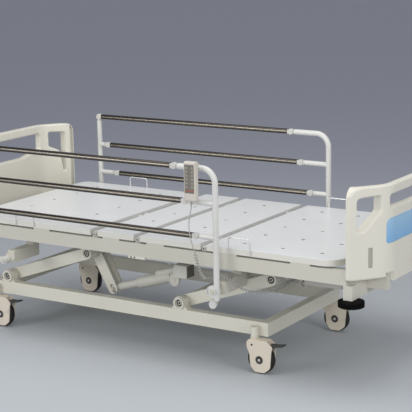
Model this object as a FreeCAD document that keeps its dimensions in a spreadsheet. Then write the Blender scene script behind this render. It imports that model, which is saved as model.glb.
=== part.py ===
import FreeCAD, Part
import math
import os
import re
from FreeCAD import Placement, Rotation, Vector

# Intensive care bed. X runs towards the foot end, Y towards the far side, Z up from the floor.
# The origin lies on the floor, midway between the outer faces of the two end boards.

driving_sizes = [
    # overall
    ("bedLength", 2300), ("boardWidth", 920), ("deckWidth", 900), ("deckTop", 560),
    # wheeled base
    ("baseCentre", -176), ("baseLength", 1544), ("baseWidth", 666), ("baseBottom", 158),
    ("baseTubeHeight", 60), ("baseTubeWidth", 40), ("tubeWall", 2),
    ("castorInset", 56), ("socketRadius", 17), ("socketHeight", 44), ("socketSink", 4),
    # castors
    ("wheelRadius", 62.5), ("wheelWidth", 30), ("castorTrail", 34), ("castorTop", 150),
    ("cheekWidth", 44), ("cheekRadius", 55), ("wheelGap", 4), ("stemRadius", 10),
    ("axleRadius", 6), ("runningClearance", 0.05), ("pedalLength", 62), ("pedalWidth", 32),
    # parallelogram lift
    ("liftPivotHeight", 245), ("headPivot", -833.5), ("footPivot", 145.5), ("armLength", 465),
    ("armAngle", 18.9), ("armHeight", 54), ("armThickness", 30), ("armOffset", 270), ("armWall", 3),
    ("torqueRadius", 25), ("torqueBore", 19), ("collarRadius", 26.8), ("collarLength", 7),
    ("blockRadius", 30), ("blockWidth", 36), ("crankPlate", 8), ("crankClearance", 1.5),
    ("liftActuatorOffset", 190),
    # upper frame
    ("frameInset", 127.5), ("railHeight", 60), ("railWidth", 30), ("railBottom", 466),
    ("crossWidth", 40), ("crossHeight", 60), ("boardReach", 100), ("innerOffset", 235), ("innerWidth", 30),
    ("innerHeight", 40), ("hangerRadius", 31), ("hangerWidth", 26),
    ("actuatorCross", 100), ("kneeCross", -420), ("stayHeight", 25), ("railArmShift", 17),
    ("railArmInner", 297), ("railArmOuter", 475), ("railArmWidth", 40), ("railArmHeight", 55),
    ("railArmTop", 418),
    ("railHangerDepth", 43),
    ("padClearance", 0.3), ("padLength", 90),
    # bumper discs
    ("bumperRadius", 54), ("bumperThickness", 28), ("bumperInset", 116), ("bumperSideInset", 25),
    ("bumperGap", 3), ("bumperBolt", 8),
    # mattress deck
    ("deckHeadInset", 200), ("deckFootInset", 165), ("backHinge", -224), ("thighHinge", 7),
    ("kneeHinge", 351),
    ("hingeDrop", 20), ("hingeRadius", 12.5), ("hingePin", 6), ("backGap", 18), ("kneeGap", 14),
    ("sheet", 1.5), ("flangeHeight", 26), ("deckCorner", 80), ("endCorner", 45), ("smallCorner", 6),
    ("ventRadius", 9), ("ventPitch", 175), ("stiffener", 25), ("stiffenerOffset", 300), ("lugThickness", 8),
    ("backActuatorOffset", 60), ("kneeActuatorOffset", 60),
    ("loopWire", 3), ("loopLength", 104), ("loopRise", 46), ("loopCorner", 12),
    # end boards
    ("boardThickness", 34), ("boardTop", 864), ("boardBottom", 464), ("boardSkin", 4),
    ("boardSweepStart", 318), ("boardSweep", 110), ("inlayThickness", 3), ("boardArm", 34),
    ("boardArmOffset", 300),
    # side rails
    ("railPlane", 504), ("barRadius", 12.5), ("barSpan", 1135), ("postRadius", 12.7), ("postWall", 1.5),
    ("footPostX", 450), ("footPinTop", 249.5), ("railTop", 898), ("pinStepX", 52.5), ("pinStepZ", 144.5),
    ("railPivotX", 434), ("railPivotZ", 379), ("postBend", 62), ("eyeRadius", 14), ("eyeThickness", 10),
    ("forkPlate", 4.5), ("rivetRadius", 4), ("sleeveRadius", 17), ("hubRadius", 27), ("pivotPin", 8),
    ("bracketPlate", 6),
    ("knobRadius", 18), ("knobX", 418), ("knobZ", 315),
    # handset
    ("handsetWidth", 58), ("handsetHeight", 166), ("handsetDepth", 28), ("handsetX", 357),
    ("handsetBottom", 764), ("handsetY", -541), ("hookGap", 0.3), ("hookPlate", 4),
    # actuators
    ("rodRadius", 19), ("outerTubeRadius", 27), ("gearRadius", 36), ("gearWidth", 34), ("rodEye", 16),
    ("actuatorPin", 6),
    # handset cord
    ("leadRadius", 2.75), ("curlRadius", 8),
]

doc = FreeCAD.newDocument("IntensiveCareBed")
sheet = doc.addObject("Spreadsheet::Sheet", "dims")
size_names = set()


class Sizes:
    """The spreadsheet's values as plain numbers, for the angles and paths worked out below."""


s = Sizes()
for row, (alias, value) in enumerate(driving_sizes, start=1):
    sheet.set(f"A{row}", alias)
    sheet.set(f"B{row}", str(value))
    sheet.setAlias(f"B{row}", alias)
    size_names.add(alias)
doc.recompute()
for alias, value in driving_sizes:
    setattr(s, alias, float(sheet.get(alias)))

crank_gap = 2 * (s.rodRadius + s.crankClearance)
hinge_height = s.deckTop - s.hingeDrop
deck_head = s.deckHeadInset - s.bedLength / 2
deck_foot = s.bedLength / 2 - s.deckFootInset
SIDES = (("near", -1), ("far", 1))
ENDS = (("head", -1), ("foot", 1))


def bind(thing, prop, text):
    """Ties a property to a formula of named sizes."""
    formula = re.sub(r"[a-zA-Z]\w*",
                     lambda m: "dims." + m.group() if m.group() in size_names else m.group(), text)
    thing.setExpression(prop, formula)


def put(thing, at):
    """Places a thing at three coordinates, each a number or a formula of named sizes."""
    for axis, where in zip("xyz", at):
        if isinstance(where, str):
            bind(thing, "Placement.Base." + axis, where)
        else:
            setattr(thing.Placement.Base, axis, where)
    numbers = [0 if isinstance(where, str) else where for where in at]
    thing.Placement.Base = Vector(*numbers)


def box(name, at, lengths):
    made = doc.addObject("Part::Box", name)
    for prop, text in zip(("Length", "Width", "Height"), lengths):
        bind(made, prop, str(text))
    put(made, at)
    return made


TURNS = {"Z": Rotation(), "X": Rotation(Vector(0, 1, 0), 90), "Y": Rotation(Vector(1, 0, 0), -90)}


def cylinder(name, at, radius, length, along="Z"):
    """A cylinder that starts at a point and runs along one axis."""
    made = doc.addObject("Part::Cylinder", name)
    bind(made, "Radius", str(radius))
    bind(made, "Height", str(length))
    made.Placement = Placement(Vector(), TURNS[along])
    put(made, at)
    return made


def fuse(name, *pieces):
    made = doc.addObject("Part::MultiFuse", name)
    made.Shapes = list(pieces)
    made.Refine = True
    return made


def cut(name, body, *tools):
    made = doc.addObject("Part::Cut", name)
    made.Base = body
    made.Tool = tools[0] if len(tools) == 1 else fuse(name + "Tools", *tools)
    return made


def gather(name, *pieces):
    """Several welded or matching solids kept side by side in one sub-part."""
    made = doc.addObject("Part::Compound", name)
    made.Links = list(pieces)
    return made


def hollow_tube(name, at, lengths, along):
    """A closed rectangular tube; lengths are its outer sizes along X, Y and Z."""
    outer = box(name + "Outer", at, lengths)
    inner_at = [f"({where}) + tubeWall" for where in at]
    inner_lengths = [f"({length}) - 2 * tubeWall" for length in lengths]
    inner = box(name + "Inner", inner_at, inner_lengths)
    return cut(name + along, outer, inner)


def rounded_loop(points):
    """Closed outline through corners (u, v, radius) as straight edges and tangent arcs."""
    count = len(points)
    starts, ends, middles = [], [], []
    for i, (u, v, radius) in enumerate(points):
        here = Vector(u, v, 0)
        back = (Vector(*points[i - 1][:2], 0) - here).normalize()
        onward = (Vector(*points[(i + 1) % count][:2], 0) - here).normalize()
        half = back.getAngle(onward) / 2
        reach = radius / math.tan(half) if radius else 0
        starts.append(here + back * reach)
        ends.append(here + onward * reach)
        bisector = (back + onward).normalize() if radius else Vector()
        middles.append(here + bisector * (radius / math.sin(half) - radius) if radius else here)
    edges = []
    for i in range(count):
        if points[i][2]:
            edges.append(Part.Arc(starts[i], middles[i], ends[i]))
        following = starts[(i + 1) % count]
        if (following - ends[i]).Length > 1e-6:
            edges.append(Part.LineSegment(ends[i], following))
    return edges


def circle_loop(u, v, radius):
    return [Part.Circle(Vector(u, v, 0), Vector(0, 0, 1), radius)]


def hull_loop(start, start_radius, end, end_radius):
    """Outline of two circles joined by their outer tangents."""
    a, b = Vector(*start, 0), Vector(*end, 0)
    along = (b - a).normalize()
    across = Vector(-along.y, along.x, 0)
    lean = (start_radius - end_radius) / (b - a).Length
    rise = math.sqrt(1 - lean * lean)
    left, right = along * lean + across * rise, along * lean - across * rise
    a1, a2 = a + left * start_radius, a + right * start_radius
    b1, b2 = b + left * end_radius, b + right * end_radius
    return [
        Part.Arc(a1, a - along * start_radius, a2),
        Part.LineSegment(a2, b2),
        Part.Arc(b2, b + along * end_radius, b1),
        Part.LineSegment(b1, a1),
    ]


# Sketch planes: the turn of the sketch and the direction its plate grows in, half each way.
PLANES = {
    "XY": (Rotation(), Vector(0, 0, 1)),
    "XZ": (Rotation(Vector(1, 0, 0), 90), Vector(0, 1, 0)),
    "YZ": (Rotation(Vector(0, 1, 0), Vector(0, 0, 1), Vector(1, 0, 0), "ZXY"), Vector(1, 0, 0)),
}


def plate(name, loops, thickness, plane, at):
    """A flat plate of one outline and its holes, centred on its sketch plane."""
    turn, grow = PLANES[plane]
    sketch = doc.addObject("Sketcher::SketchObject", name + "Sketch")
    for loop in loops:
        for edge in loop:
            sketch.addGeometry(edge, False)
    sketch.Placement = Placement(Vector(), turn)
    put(sketch, at)
    made = doc.addObject("Part::Extrusion", name)
    made.Base = sketch
    made.DirMode = "Custom"
    made.Dir = grow
    made.Solid = True
    made.Symmetric = True
    bind(made, "LengthFwd", str(thickness))
    return made


def bent_path(points):
    """A wire of straight runs and tangent arcs through corners (x, y, z, radius)."""
    edges = []
    leave = Vector(*points[0][:3])
    for i in range(1, len(points) - 1):
        here = Vector(*points[i][:3])
        back = (Vector(*points[i - 1][:3]) - here).normalize()
        onward = (Vector(*points[i + 1][:3]) - here).normalize()
        half = back.getAngle(onward) / 2
        radius = points[i][3]
        reach = radius / math.tan(half)
        start, end = here + back * reach, here + onward * reach
        middle = here + (back + onward).normalize() * (radius / math.sin(half) - radius)
        if (start - leave).Length > 1e-6:
            edges.append(Part.LineSegment(leave, start).toShape())
        edges.append(Part.Arc(start, middle, end).toShape())
        leave = end
    edges.append(Part.LineSegment(leave, Vector(*points[-1][:3])).toShape())
    return Part.Wire(edges)


def swept(name, points, radius):
    """A round bar that follows a bent path."""
    path = bent_path(points)
    heading = Vector(*points[1][:3]) - Vector(*points[0][:3])
    section = Part.Face(Part.Wire(Part.Circle(Vector(*points[0][:3]), heading, radius).toShape()))
    made = doc.addObject("Part::Feature", name)
    made.Shape = path.makePipe(section)
    return made


def offset_line(points, distance):
    """Corners of an open polyline (u, v, radius) moved sideways by a distance."""
    moved = []
    flat = [Vector(u, v, 0) for u, v, radius in points]
    for i, here in enumerate(flat):
        sides = []
        if i:
            sides.append((here - flat[i - 1]).normalize())
        if i < len(flat) - 1:
            sides.append((flat[i + 1] - here).normalize())
        normals = [Vector(-side.y, side.x, 0) for side in sides]
        mean = sum(normals, Vector()).normalize()
        stretch = distance / mean.dot(normals[0])
        spot = here + mean * stretch
        shrink = 0
        if points[i][2] and len(sides) == 2:
            turn_left = sides[0].cross(sides[1]).z > 0
            shrink = -distance if turn_left else distance
        moved.append((spot.x, spot.y, max(points[i][2] + shrink, 0)))
    return moved


def deg_point(origin, length, degrees):
    """The point at a distance and a rise angle from another, in the XZ plane."""
    turn = math.radians(degrees)
    return (origin[0] + length * math.cos(turn), origin[1] + length * math.sin(turn))


sub_parts = []


def name_part(thing, label):
    thing.Label = label
    sub_parts.append(thing)
    return thing


# Wheeled base: two long tubes, two end tubes between them and a stem socket at each corner.
base_pieces = []
for side, sign in SIDES:
    base_pieces.append(hollow_tube(
        "baseLong" + side,
        ("baseCentre - baseLength / 2",
         f"{sign} * (baseWidth - baseTubeWidth) / 2 - baseTubeWidth / 2", "baseBottom"),
        ("baseLength", "baseTubeWidth", "baseTubeHeight"), "Tube"))
for end, sign in ENDS:
    base_pieces.append(hollow_tube(
        "baseEnd" + end,
        (f"baseCentre + {sign} * (baseLength - baseTubeWidth) / 2 - baseTubeWidth / 2",
         "baseTubeWidth - baseWidth / 2", "baseBottom"),
        ("baseTubeWidth", "baseWidth - 2 * baseTubeWidth", "baseTubeHeight"), "Tube"))
for end, end_sign in ENDS:
    for side, side_sign in SIDES:
        tag = end + side
        swivel_x = f"baseCentre + {end_sign} * (baseLength / 2 - castorInset)"
        swivel_y = f"{side_sign} * (baseWidth / 2 + socketRadius)"
        shell = cylinder("socket" + tag, (swivel_x, swivel_y, "baseBottom"), "socketRadius", "socketHeight")
        web = box("socketWeb" + tag,
                  (f"{swivel_x} - 12", f"{side_sign} * (baseWidth / 2 + socketRadius / 2) - socketRadius / 2",
                   "baseBottom"),
                  (24, "socketRadius", "socketHeight"))
        bore = cylinder("socketBore" + tag, (swivel_x, swivel_y, "baseBottom - 1"),
                        "stemRadius + runningClearance", "socketHeight + 2")
        base_pieces.append(cut("socketBody" + tag, fuse("socketShell" + tag, shell, web), bore))
name_part(gather("baseFrame", *base_pieces), "base_frame")

# Bearing blocks on the long tubes, which carry the lower torque tubes.
block_pieces = []
for end, pivot in (("head", "headPivot"), ("foot", "footPivot")):
    for side, sign in SIDES:
        tag = end + side
        low_y = f"{sign} * (baseWidth - baseTubeWidth) / 2 - blockWidth / 2"
        foot = box("blockFoot" + tag, (f"{pivot} - blockRadius - 8", low_y, "baseBottom + baseTubeHeight"),
                   ("2 * blockRadius + 16", "blockWidth", 8))
        cheek = box("blockCheek" + tag, (f"{pivot} - blockRadius", low_y, "baseBottom + baseTubeHeight"),
                    ("2 * blockRadius", "blockWidth", "liftPivotHeight - baseBottom - baseTubeHeight"))
        crown = cylinder("blockCrown" + tag, (pivot, low_y, "liftPivotHeight"),
                         "blockRadius", "blockWidth", "Y")
        bore = cylinder("blockBore" + tag, (pivot, f"{low_y} - 1", "liftPivotHeight"),
                        "torqueRadius + runningClearance", "blockWidth + 2", "Y")
        under = box("blockUnder" + tag, (f"{pivot} - 2 * blockRadius", f"{low_y} - 1",
                                         "baseBottom + baseTubeHeight - 30"),
                    ("4 * blockRadius", "blockWidth + 2", 30))
        block_pieces.append(cut("block" + tag, fuse("blockBody" + tag, foot, cheek, crown), bore, under))
name_part(gather("bearingBlocks", *block_pieces), "lift_bearing_blocks")


# Castors: a moulded hood with two cheeks over a tyred wheel, a stem, and a brake pedal.
def castor(tag, swivel_x, swivel_y):
    """One castor, its wheel axle trailing the stem towards the foot end."""
    hub = (swivel_x + s.castorTrail, swivel_y, s.wheelRadius)
    top = s.castorTop - s.wheelRadius
    ring = s.cheekRadius
    outline = rounded_loop([
        (-62, top, 22), (34, top, 26), (64, 62, 10), (58, 44, 6),
        (ring, 12, 20), (ring * 0.92, -ring * 0.62, 24), (ring * 0.42, -ring, 24),
        (-ring * 0.42, -ring, 22), (-44, -ring * 0.55, 20), (-48, 20, 30), (-62, 52, 12),
    ])
    hood = plate("hood" + tag, [outline], "cheekWidth", "XZ", hub)
    round_room = cylinder("wheelRoom" + tag, (hub[0], f"{hub[1]} - wheelWidth / 2 - 2", hub[2]),
                          "wheelRadius + wheelGap", "wheelWidth + 4", "Y")
    low_room = box("lowRoom" + tag,
                   (hub[0] - s.wheelRadius - 8, f"{hub[1]} - wheelWidth / 2 - 2", hub[2] - 66),
                   ("2 * wheelRadius + 40", "wheelWidth + 4", 66))
    pedal_room = box("pedalRoom" + tag, (hub[0] + 33, f"{hub[1]} - wheelWidth / 2 - 2", hub[2] + 30),
                     (60, "wheelWidth + 4", 60))
    stem = cylinder("stem" + tag, (swivel_x, swivel_y, "castorTop - 4"), "stemRadius",
                    "baseBottom - castorTop + socketHeight + 4")
    collar = cylinder("stemCollar" + tag, (swivel_x, swivel_y, "castorTop - 2"), "stemRadius + 8",
                      "baseBottom - castorTop + 2 - 0.5")
    axle = cylinder("axle" + tag, (hub[0], f"{hub[1]} - cheekWidth / 2 - 2", hub[2]), "axleRadius",
                    "cheekWidth + 4", "Y")
    pedal_pin = cylinder("pedalPin" + tag, (hub[0] + 50, f"{hub[1]} - cheekWidth / 2 + 1", hub[2] + 62), 3,
                         "cheekWidth - 2", "Y")
    room = fuse("roomy" + tag, round_room, low_room, pedal_room)
    shell = cut("hoodShell" + tag, hood, room)
    housing = fuse("castorHousing" + tag, shell, stem, collar, axle, pedal_pin)
    name_part(housing, "castor_housing_" + tag)

    half = s.wheelWidth / 2
    wheel_profile = rounded_loop([
        (s.axleRadius + s.runningClearance, half + 1, 0), (18, half + 1, 0), (24, half - 4, 3),
        (44, half - 4, 3), (48, half, 2), (s.wheelRadius, half, 8), (s.wheelRadius, -half, 8),
        (48, -half, 2), (44, 4 - half, 3),
        (24, 4 - half, 3), (18, -half - 1, 0), (s.axleRadius + s.runningClearance, -half - 1, 0),
    ])
    wheel_sketch = doc.addObject("Sketcher::SketchObject", "wheelSketch" + tag)
    for edge in wheel_profile:
        wheel_sketch.addGeometry(edge, False)
    wheel_sketch.Placement = Placement(Vector(*hub), Rotation())
    wheel = doc.addObject("Part::Revolution", "wheel" + tag)
    wheel.Source = wheel_sketch
    wheel.Axis = Vector(0, 1, 0)
    wheel.Base = Vector(*hub)
    wheel.Angle = 360
    wheel.Solid = True
    name_part(wheel, "castor_wheel_" + tag)

    pivot = (hub[0] + 50, hub[2] + 62)
    lever = plate("pedalLever" + tag, [rounded_loop([
        (-8, -8, 7), (8, -8, 5), (26, 2, 12), (s.pedalLength, 9, 3), (s.pedalLength, 15, 3),
        (20, 9, 12), (-8, 9, 7)])], "pedalWidth", "XZ", (pivot[0], hub[1], pivot[1]))
    pin_hole = cylinder("pedalHole" + tag, (pivot[0], f"{hub[1]} - pedalWidth / 2 - 1", pivot[1]),
                        "3 + runningClearance", "pedalWidth + 2", "Y")
    name_part(cut("pedal" + tag, lever, pin_hole), "castor_pedal_" + tag)


for end, end_sign in ENDS:
    for side, side_sign in SIDES:
        castor(end + "_" + side, s.baseCentre + end_sign * (s.baseLength / 2 - s.castorInset),
               side_sign * (s.baseWidth / 2 + s.socketRadius))


def lift_arms(end, pivot, crank_end, slot_start, slot_end, crank_side):
    """Two rounded arms on a lower and an upper torque tube, with a slotted crank, welded together."""
    low = (pivot, s.liftPivotHeight)
    high = deg_point(low, s.armLength, s.armAngle)
    arm_radius = s.armHeight / 2
    pieces = []
    for side, sign in SIDES:
        holes = [circle_loop(*low, s.torqueRadius), circle_loop(*high, s.torqueRadius)]
        arm = plate("armPlate" + end + side, [hull_loop(low, arm_radius, high, arm_radius)] + holes,
                    "armThickness", "XZ", (0, sign * s.armOffset, 0))
        hollow = plate("armHollow" + end + side,
                       [hull_loop(deg_point(low, 56, s.armAngle), arm_radius - s.armWall,
                                  deg_point(low, s.armLength - 56, s.armAngle), arm_radius - s.armWall)],
                       "armThickness - 2 * armWall", "XZ", (0, sign * s.armOffset, 0))
        pieces.append(cut("arm" + end + side, arm, hollow))
    for name, at, reach in (("low", low, "baseWidth / 2"),
                            ("high", high, "armOffset + armThickness / 2 + 3")):
        tube = cylinder(f"{name}Torque{end}", (at[0], f"-({reach})", at[1]),
                        "torqueRadius", f"2 * ({reach})", "Y")
        parts = [tube]
        if name == "low":
            for side, sign in SIDES:
                start = "baseWidth / 2" if sign > 0 else "-baseWidth / 2 - collarLength"
                parts.append(cylinder("collar" + end + side, (at[0], start, at[1]), "collarRadius",
                                      "collarLength", "Y"))
        bore = cylinder(f"{name}Bore{end}", (at[0], "-baseWidth", at[1]), "torqueBore", "2 * baseWidth", "Y")
        body = fuse(f"{name}Weld{end}", *parts) if len(parts) > 1 else tube
        pieces.append(cut(f"{name}Tube{end}", body, bore))
    slot = hull_loop(slot_start, s.actuatorPin + 4, slot_end, s.actuatorPin + 4)
    for place in (-1, 1):
        middle = crank_side * s.liftActuatorOffset + place * (crank_gap + s.crankPlate) / 2
        pieces.append(plate(
            f"crank{end}{'Low' if place < 0 else 'High'}",
            [hull_loop(high, s.torqueRadius + 4, crank_end, 26), circle_loop(*high, s.torqueRadius), slot],
            "crankPlate", "XZ", (0, middle, 0)))
    name_part(gather("liftArms" + end, *pieces), end + "_lift_arms")
    return high


head_crank, foot_crank = (-300, 225), (500, 265)
head_high = lift_arms("head", s.headPivot, head_crank, (-290, 214), (-304, 236), -1)
foot_high = lift_arms("foot", s.footPivot, foot_crank, (498.5, 257), (503.5, 270.5), 1)


# Upper frame: side tubes, cross tubes under their ends, inner tubes with hangers, and all its brackets.
frame_pieces = []
rail_low = "railBottom"
for side, sign in SIDES:
    frame_pieces.append(hollow_tube(
        "sideTube" + side,
        ("frameInset - bedLength / 2", f"{sign} * (deckWidth - railWidth) / 2 - railWidth / 2", rail_low),
        ("bedLength - 2 * frameInset", "railWidth", "railHeight"), "Tube"))
    frame_pieces.append(hollow_tube(
        "innerTube" + side,
        ("crossWidth + boardReach - bedLength / 2", f"{sign} * innerOffset - innerWidth / 2",
         "railBottom - innerHeight"),
        ("bedLength - 2 * boardReach - 2 * crossWidth", "innerWidth", "innerHeight"), "Tube"))
for end, sign in ENDS:
    frame_pieces.append(hollow_tube(
        "crossTube" + end,
        (f"{sign} * (bedLength / 2 - boardReach - crossWidth / 2) - crossWidth / 2", "-deckWidth / 2",
         "railBottom - crossHeight"),
        ("crossWidth", "deckWidth", "crossHeight"), "Tube"))
for name, where in (("Head", "railPivotX + railArmShift - barSpan"), ("Foot", "railPivotX + railArmShift")):
    frame_pieces.append(hollow_tube(
        "stay" + name, (f"{where} - crossWidth / 2", "railWidth - deckWidth / 2", rail_low),
        ("crossWidth", "deckWidth - 2 * railWidth", "stayHeight"), "Tube"))

# Cross tubes between the inner tubes, with the lugs that the actuators push from.
inner_low = "railBottom - innerHeight"
lift_rear = {"head": (75, 335), "foot": (140, 335)}
back_rear, knee_rear = (60, 446), (-380, 446)
lug_gap = 2 * (s.rodEye + 4)
lugs = []
for end, side_sign in (("head", -1), ("foot", 1)):
    for place in (-1, 1):
        middle = side_sign * s.liftActuatorOffset + place * (lug_gap + s.crankPlate) / 2
        lugs.append((plate(f"liftLug{end}{'Low' if place < 0 else 'High'}",
                           [hull_loop((s.actuatorCross, s.railBottom - 18), 18, lift_rear[end], 15)],
                           "crankPlate", "XZ", (0, middle, 0)), lift_rear[end]))


def rear_lugs(name, cross, rear, offset):
    """A pair of lug plates that reach from a cross tube to an actuator's rear pin."""
    made = []
    for place in (-1, 1):
        middle = offset + place * (lug_gap + s.crankPlate) / 2
        made.append((plate(f"{name}{'Low' if place < 0 else 'High'}",
                           [hull_loop((cross, rear[1]), 18, rear, 14)],
                           "crankPlate", "XZ", (0, middle, 0)), rear))
    return made


lugs += rear_lugs("backLug", s.actuatorCross, back_rear, -s.backActuatorOffset)
knee_lugs = rear_lugs("kneeLug", s.kneeCross, knee_rear, s.kneeActuatorOffset)
for name, where, carried in (("actuator", "actuatorCross", lugs), ("knee", "kneeCross", knee_lugs)):
    outer = box(name + "CrossOuter", (f"{where} - crossWidth / 2", "innerWidth / 2 - innerOffset", inner_low),
                ("crossWidth", "2 * innerOffset - innerWidth", "innerHeight"))
    inner = box(name + "CrossInner",
                (f"{where} - crossWidth / 2 + tubeWall", "innerWidth / 2 - innerOffset + tubeWall",
                 "railBottom - innerHeight + tubeWall"),
                ("crossWidth - 2 * tubeWall", "2 * innerOffset - innerWidth - 2 * tubeWall",
                 "innerHeight - 2 * tubeWall"))
    frame_pieces.append(cut(name + "Cross", outer, inner))
    for index, (lug, rear) in enumerate(carried):
        hole = cylinder(f"{name}RearHole{index}", (rear[0], "-innerOffset", rear[1]),
                        "actuatorPin + runningClearance", "2 * innerOffset", "Y")
        room = box(f"{name}LugRoom{index}", (f"{where} - crossWidth / 2", "-innerOffset", inner_low),
                   ("crossWidth", "2 * innerOffset", "innerHeight"))
        frame_pieces.append(cut(f"{name}Lug{index}", lug, room, hole))

# Hangers under the inner tubes, which carry the upper torque tubes.
for end, high in (("head", head_high), ("foot", foot_high)):
    for side, sign in SIDES:
        tag = end + side
        low_y = f"{sign} * innerOffset - hangerWidth / 2"
        drop = box("hangerDrop" + tag, (f"{high[0]} - hangerRadius", low_y, high[1]),
                   ("2 * hangerRadius", "hangerWidth", f"railBottom - innerHeight - {high[1]}"))
        curve = cylinder("hangerCurve" + tag, (high[0], low_y, high[1]), "hangerRadius", "hangerWidth", "Y")
        bore = cylinder("hangerBore" + tag, (high[0], f"{low_y} - 1", high[1]),
                        "torqueRadius + runningClearance", "hangerWidth + 2", "Y")
        frame_pieces.append(cut("hanger" + tag, fuse("hangerBody" + tag, drop, curve), bore))

# Corner bolts for the bumper discs and stub arms that hold the end boards.
for end, end_sign in ENDS:
    for side, side_sign in SIDES:
        tag = end + side
        x = f"{end_sign} * (bedLength / 2 - bumperInset)"
        y = f"{side_sign} * (deckWidth / 2 - bumperSideInset)"
        under = "railBottom - crossHeight"
        shank = cylinder("bumperShank" + tag, (x, y, f"{under} - bumperThickness - 2 * bumperGap"),
                         "bumperBolt", "bumperThickness + 2 * bumperGap")
        head = cylinder("bumperHead" + tag, (x, y, f"{under} - bumperThickness - 2 * bumperGap - 6"), 15, 6)
        frame_pieces.append(fuse("bumperPin" + tag, shank, head))
        arm_y = f"{side_sign} * boardArmOffset - boardArm / 2"
        start = "bedLength / 2 - boardReach" if end_sign > 0 else "-bedLength / 2 + 12"
        frame_pieces.append(hollow_tube("boardArm" + tag, (start, arm_y, "railBottom - boardArm"),
                                        ("boardReach - 12", "boardArm", "2 * boardArm - padClearance"),
                                        "Tube"))

# Deck hinge lugs and rest pads on the side tubes.
frame_top = "railBottom + railHeight"
for name, where in (("back", "backHinge"), ("thigh", "thighHinge")):
    for side, sign in SIDES:
        low_y = f"{sign} * (deckWidth - railWidth) / 2 - lugThickness / 2"
        post = box(f"{name}HingePost{side}", (f"{where} - 12", low_y, frame_top),
                   (24, "lugThickness", "deckTop - hingeDrop - railBottom - railHeight"))
        eye = cylinder(f"{name}HingeEye{side}", (where, low_y, "deckTop - hingeDrop"), 12,
                       "lugThickness", "Y")
        hole = cylinder(f"{name}HingeHole{side}", (where, f"{low_y} - 1", "deckTop - hingeDrop"),
                        "hingePin + runningClearance", "lugThickness + 2", "Y")
        frame_pieces.append(cut(f"{name}HingeLug{side}", fuse(f"{name}HingeBody{side}", post, eye), hole))
deck_underside = "deckTop - flangeHeight"
for index, (pad_x, clearance) in enumerate(((-130, "0"), (105, "padClearance"), (470, "padClearance"),
                                            (815, "padClearance"), (-520, "padClearance"),
                                            (-860, "padClearance"))):
    for side, sign in SIDES:
        frame_pieces.append(box(f"pad{index}{side}",
                                (f"{pad_x} - padLength / 2", f"{sign} * (deckWidth / 2 - 10) - 10",
                                 frame_top),
                                ("padLength", 20,
                                 f"{deck_underside} - railBottom - railHeight - {clearance}")))


# Side rail brackets: a plate down the side tube with a boss, a pivot pin and its washer.
def rail_bracket(tag, pivot_x, sign, latched):
    """A hanger and an arm under the frame, with the cheek plate and the bolt that a rail post turns on."""
    arm_x = f"{pivot_x} + railArmShift - railArmWidth / 2"
    arm = hollow_tube("railArm" + tag, (arm_x, "railArmInner" if sign > 0 else "-railArmOuter",
                                        "railArmTop - railArmHeight"),
                      ("railArmWidth", "railArmOuter - railArmInner", "railArmHeight"), "Tube")
    hanger = hollow_tube("railHanger" + tag,
                         (arm_x, "railArmInner" if sign > 0 else "-railArmInner - railHangerDepth",
                          "railArmTop"),
                         ("railArmWidth", "railHangerDepth", "railBottom - railArmTop"), "Tube")
    plate_y = sign * (s.railArmOuter + s.bracketPlate / 2)
    middle = s.railArmTop - s.railArmHeight / 2
    cheek = plate("railCheek" + tag,
                  [hull_loop((pivot_x, s.railPivotZ), 20, (pivot_x + s.railArmShift, middle), 24)],
                  "bracketPlate", "XZ", (0, plate_y, 0))
    if latched:
        tail = plate("bracketTail" + tag, [hull_loop((pivot_x, s.railPivotZ), 18, (s.knobX, s.knobZ), 16)],
                     "bracketPlate", "XZ", (0, plate_y, 0))
        knob_hole = cylinder("knobHole" + tag, (s.knobX, plate_y - s.bracketPlate, s.knobZ),
                             "5 + runningClearance", "2 * bracketPlate", "Y")
        cheek = cut("bracketPlate" + tag, fuse("bracketWeld" + tag, cheek, tail), knob_hole)

    def out(name, radius, start, end):
        low = start if sign > 0 else end
        text = f"{sign} * ({low})"
        return cylinder(name + tag, (pivot_x, text, "railPivotZ"), radius, f"abs(({end}) - ({start}))", "Y")

    face = "railArmOuter + bracketPlate"
    seat = "railPlane - postRadius - 0.8"
    boss = out("bracketBoss", "sleeveRadius", face, seat)
    bolt = fuse("bracketBolt" + tag, out("bracketPin", "pivotPin", seat, "railPlane + postRadius + 1"),
                out("bracketWasher", 13, "railPlane + postRadius + 0.8", "railPlane + postRadius + 3"),
                out("bracketHead", 8.5, "railPlane + postRadius + 2", "railPlane + postRadius + 8"))
    return [arm, hanger, cheek, boss, bolt]


bracket_pieces = []
for side, sign in SIDES:
    for end, pivot_x, latched in (("foot", s.railPivotX, True), ("head", s.railPivotX - s.barSpan, False)):
        bracket_pieces += rail_bracket(end + side, pivot_x, sign, latched)
name_part(gather("upperFrame", *frame_pieces), "upper_frame")
name_part(gather("railBrackets", *bracket_pieces), "side_rail_brackets")

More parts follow.
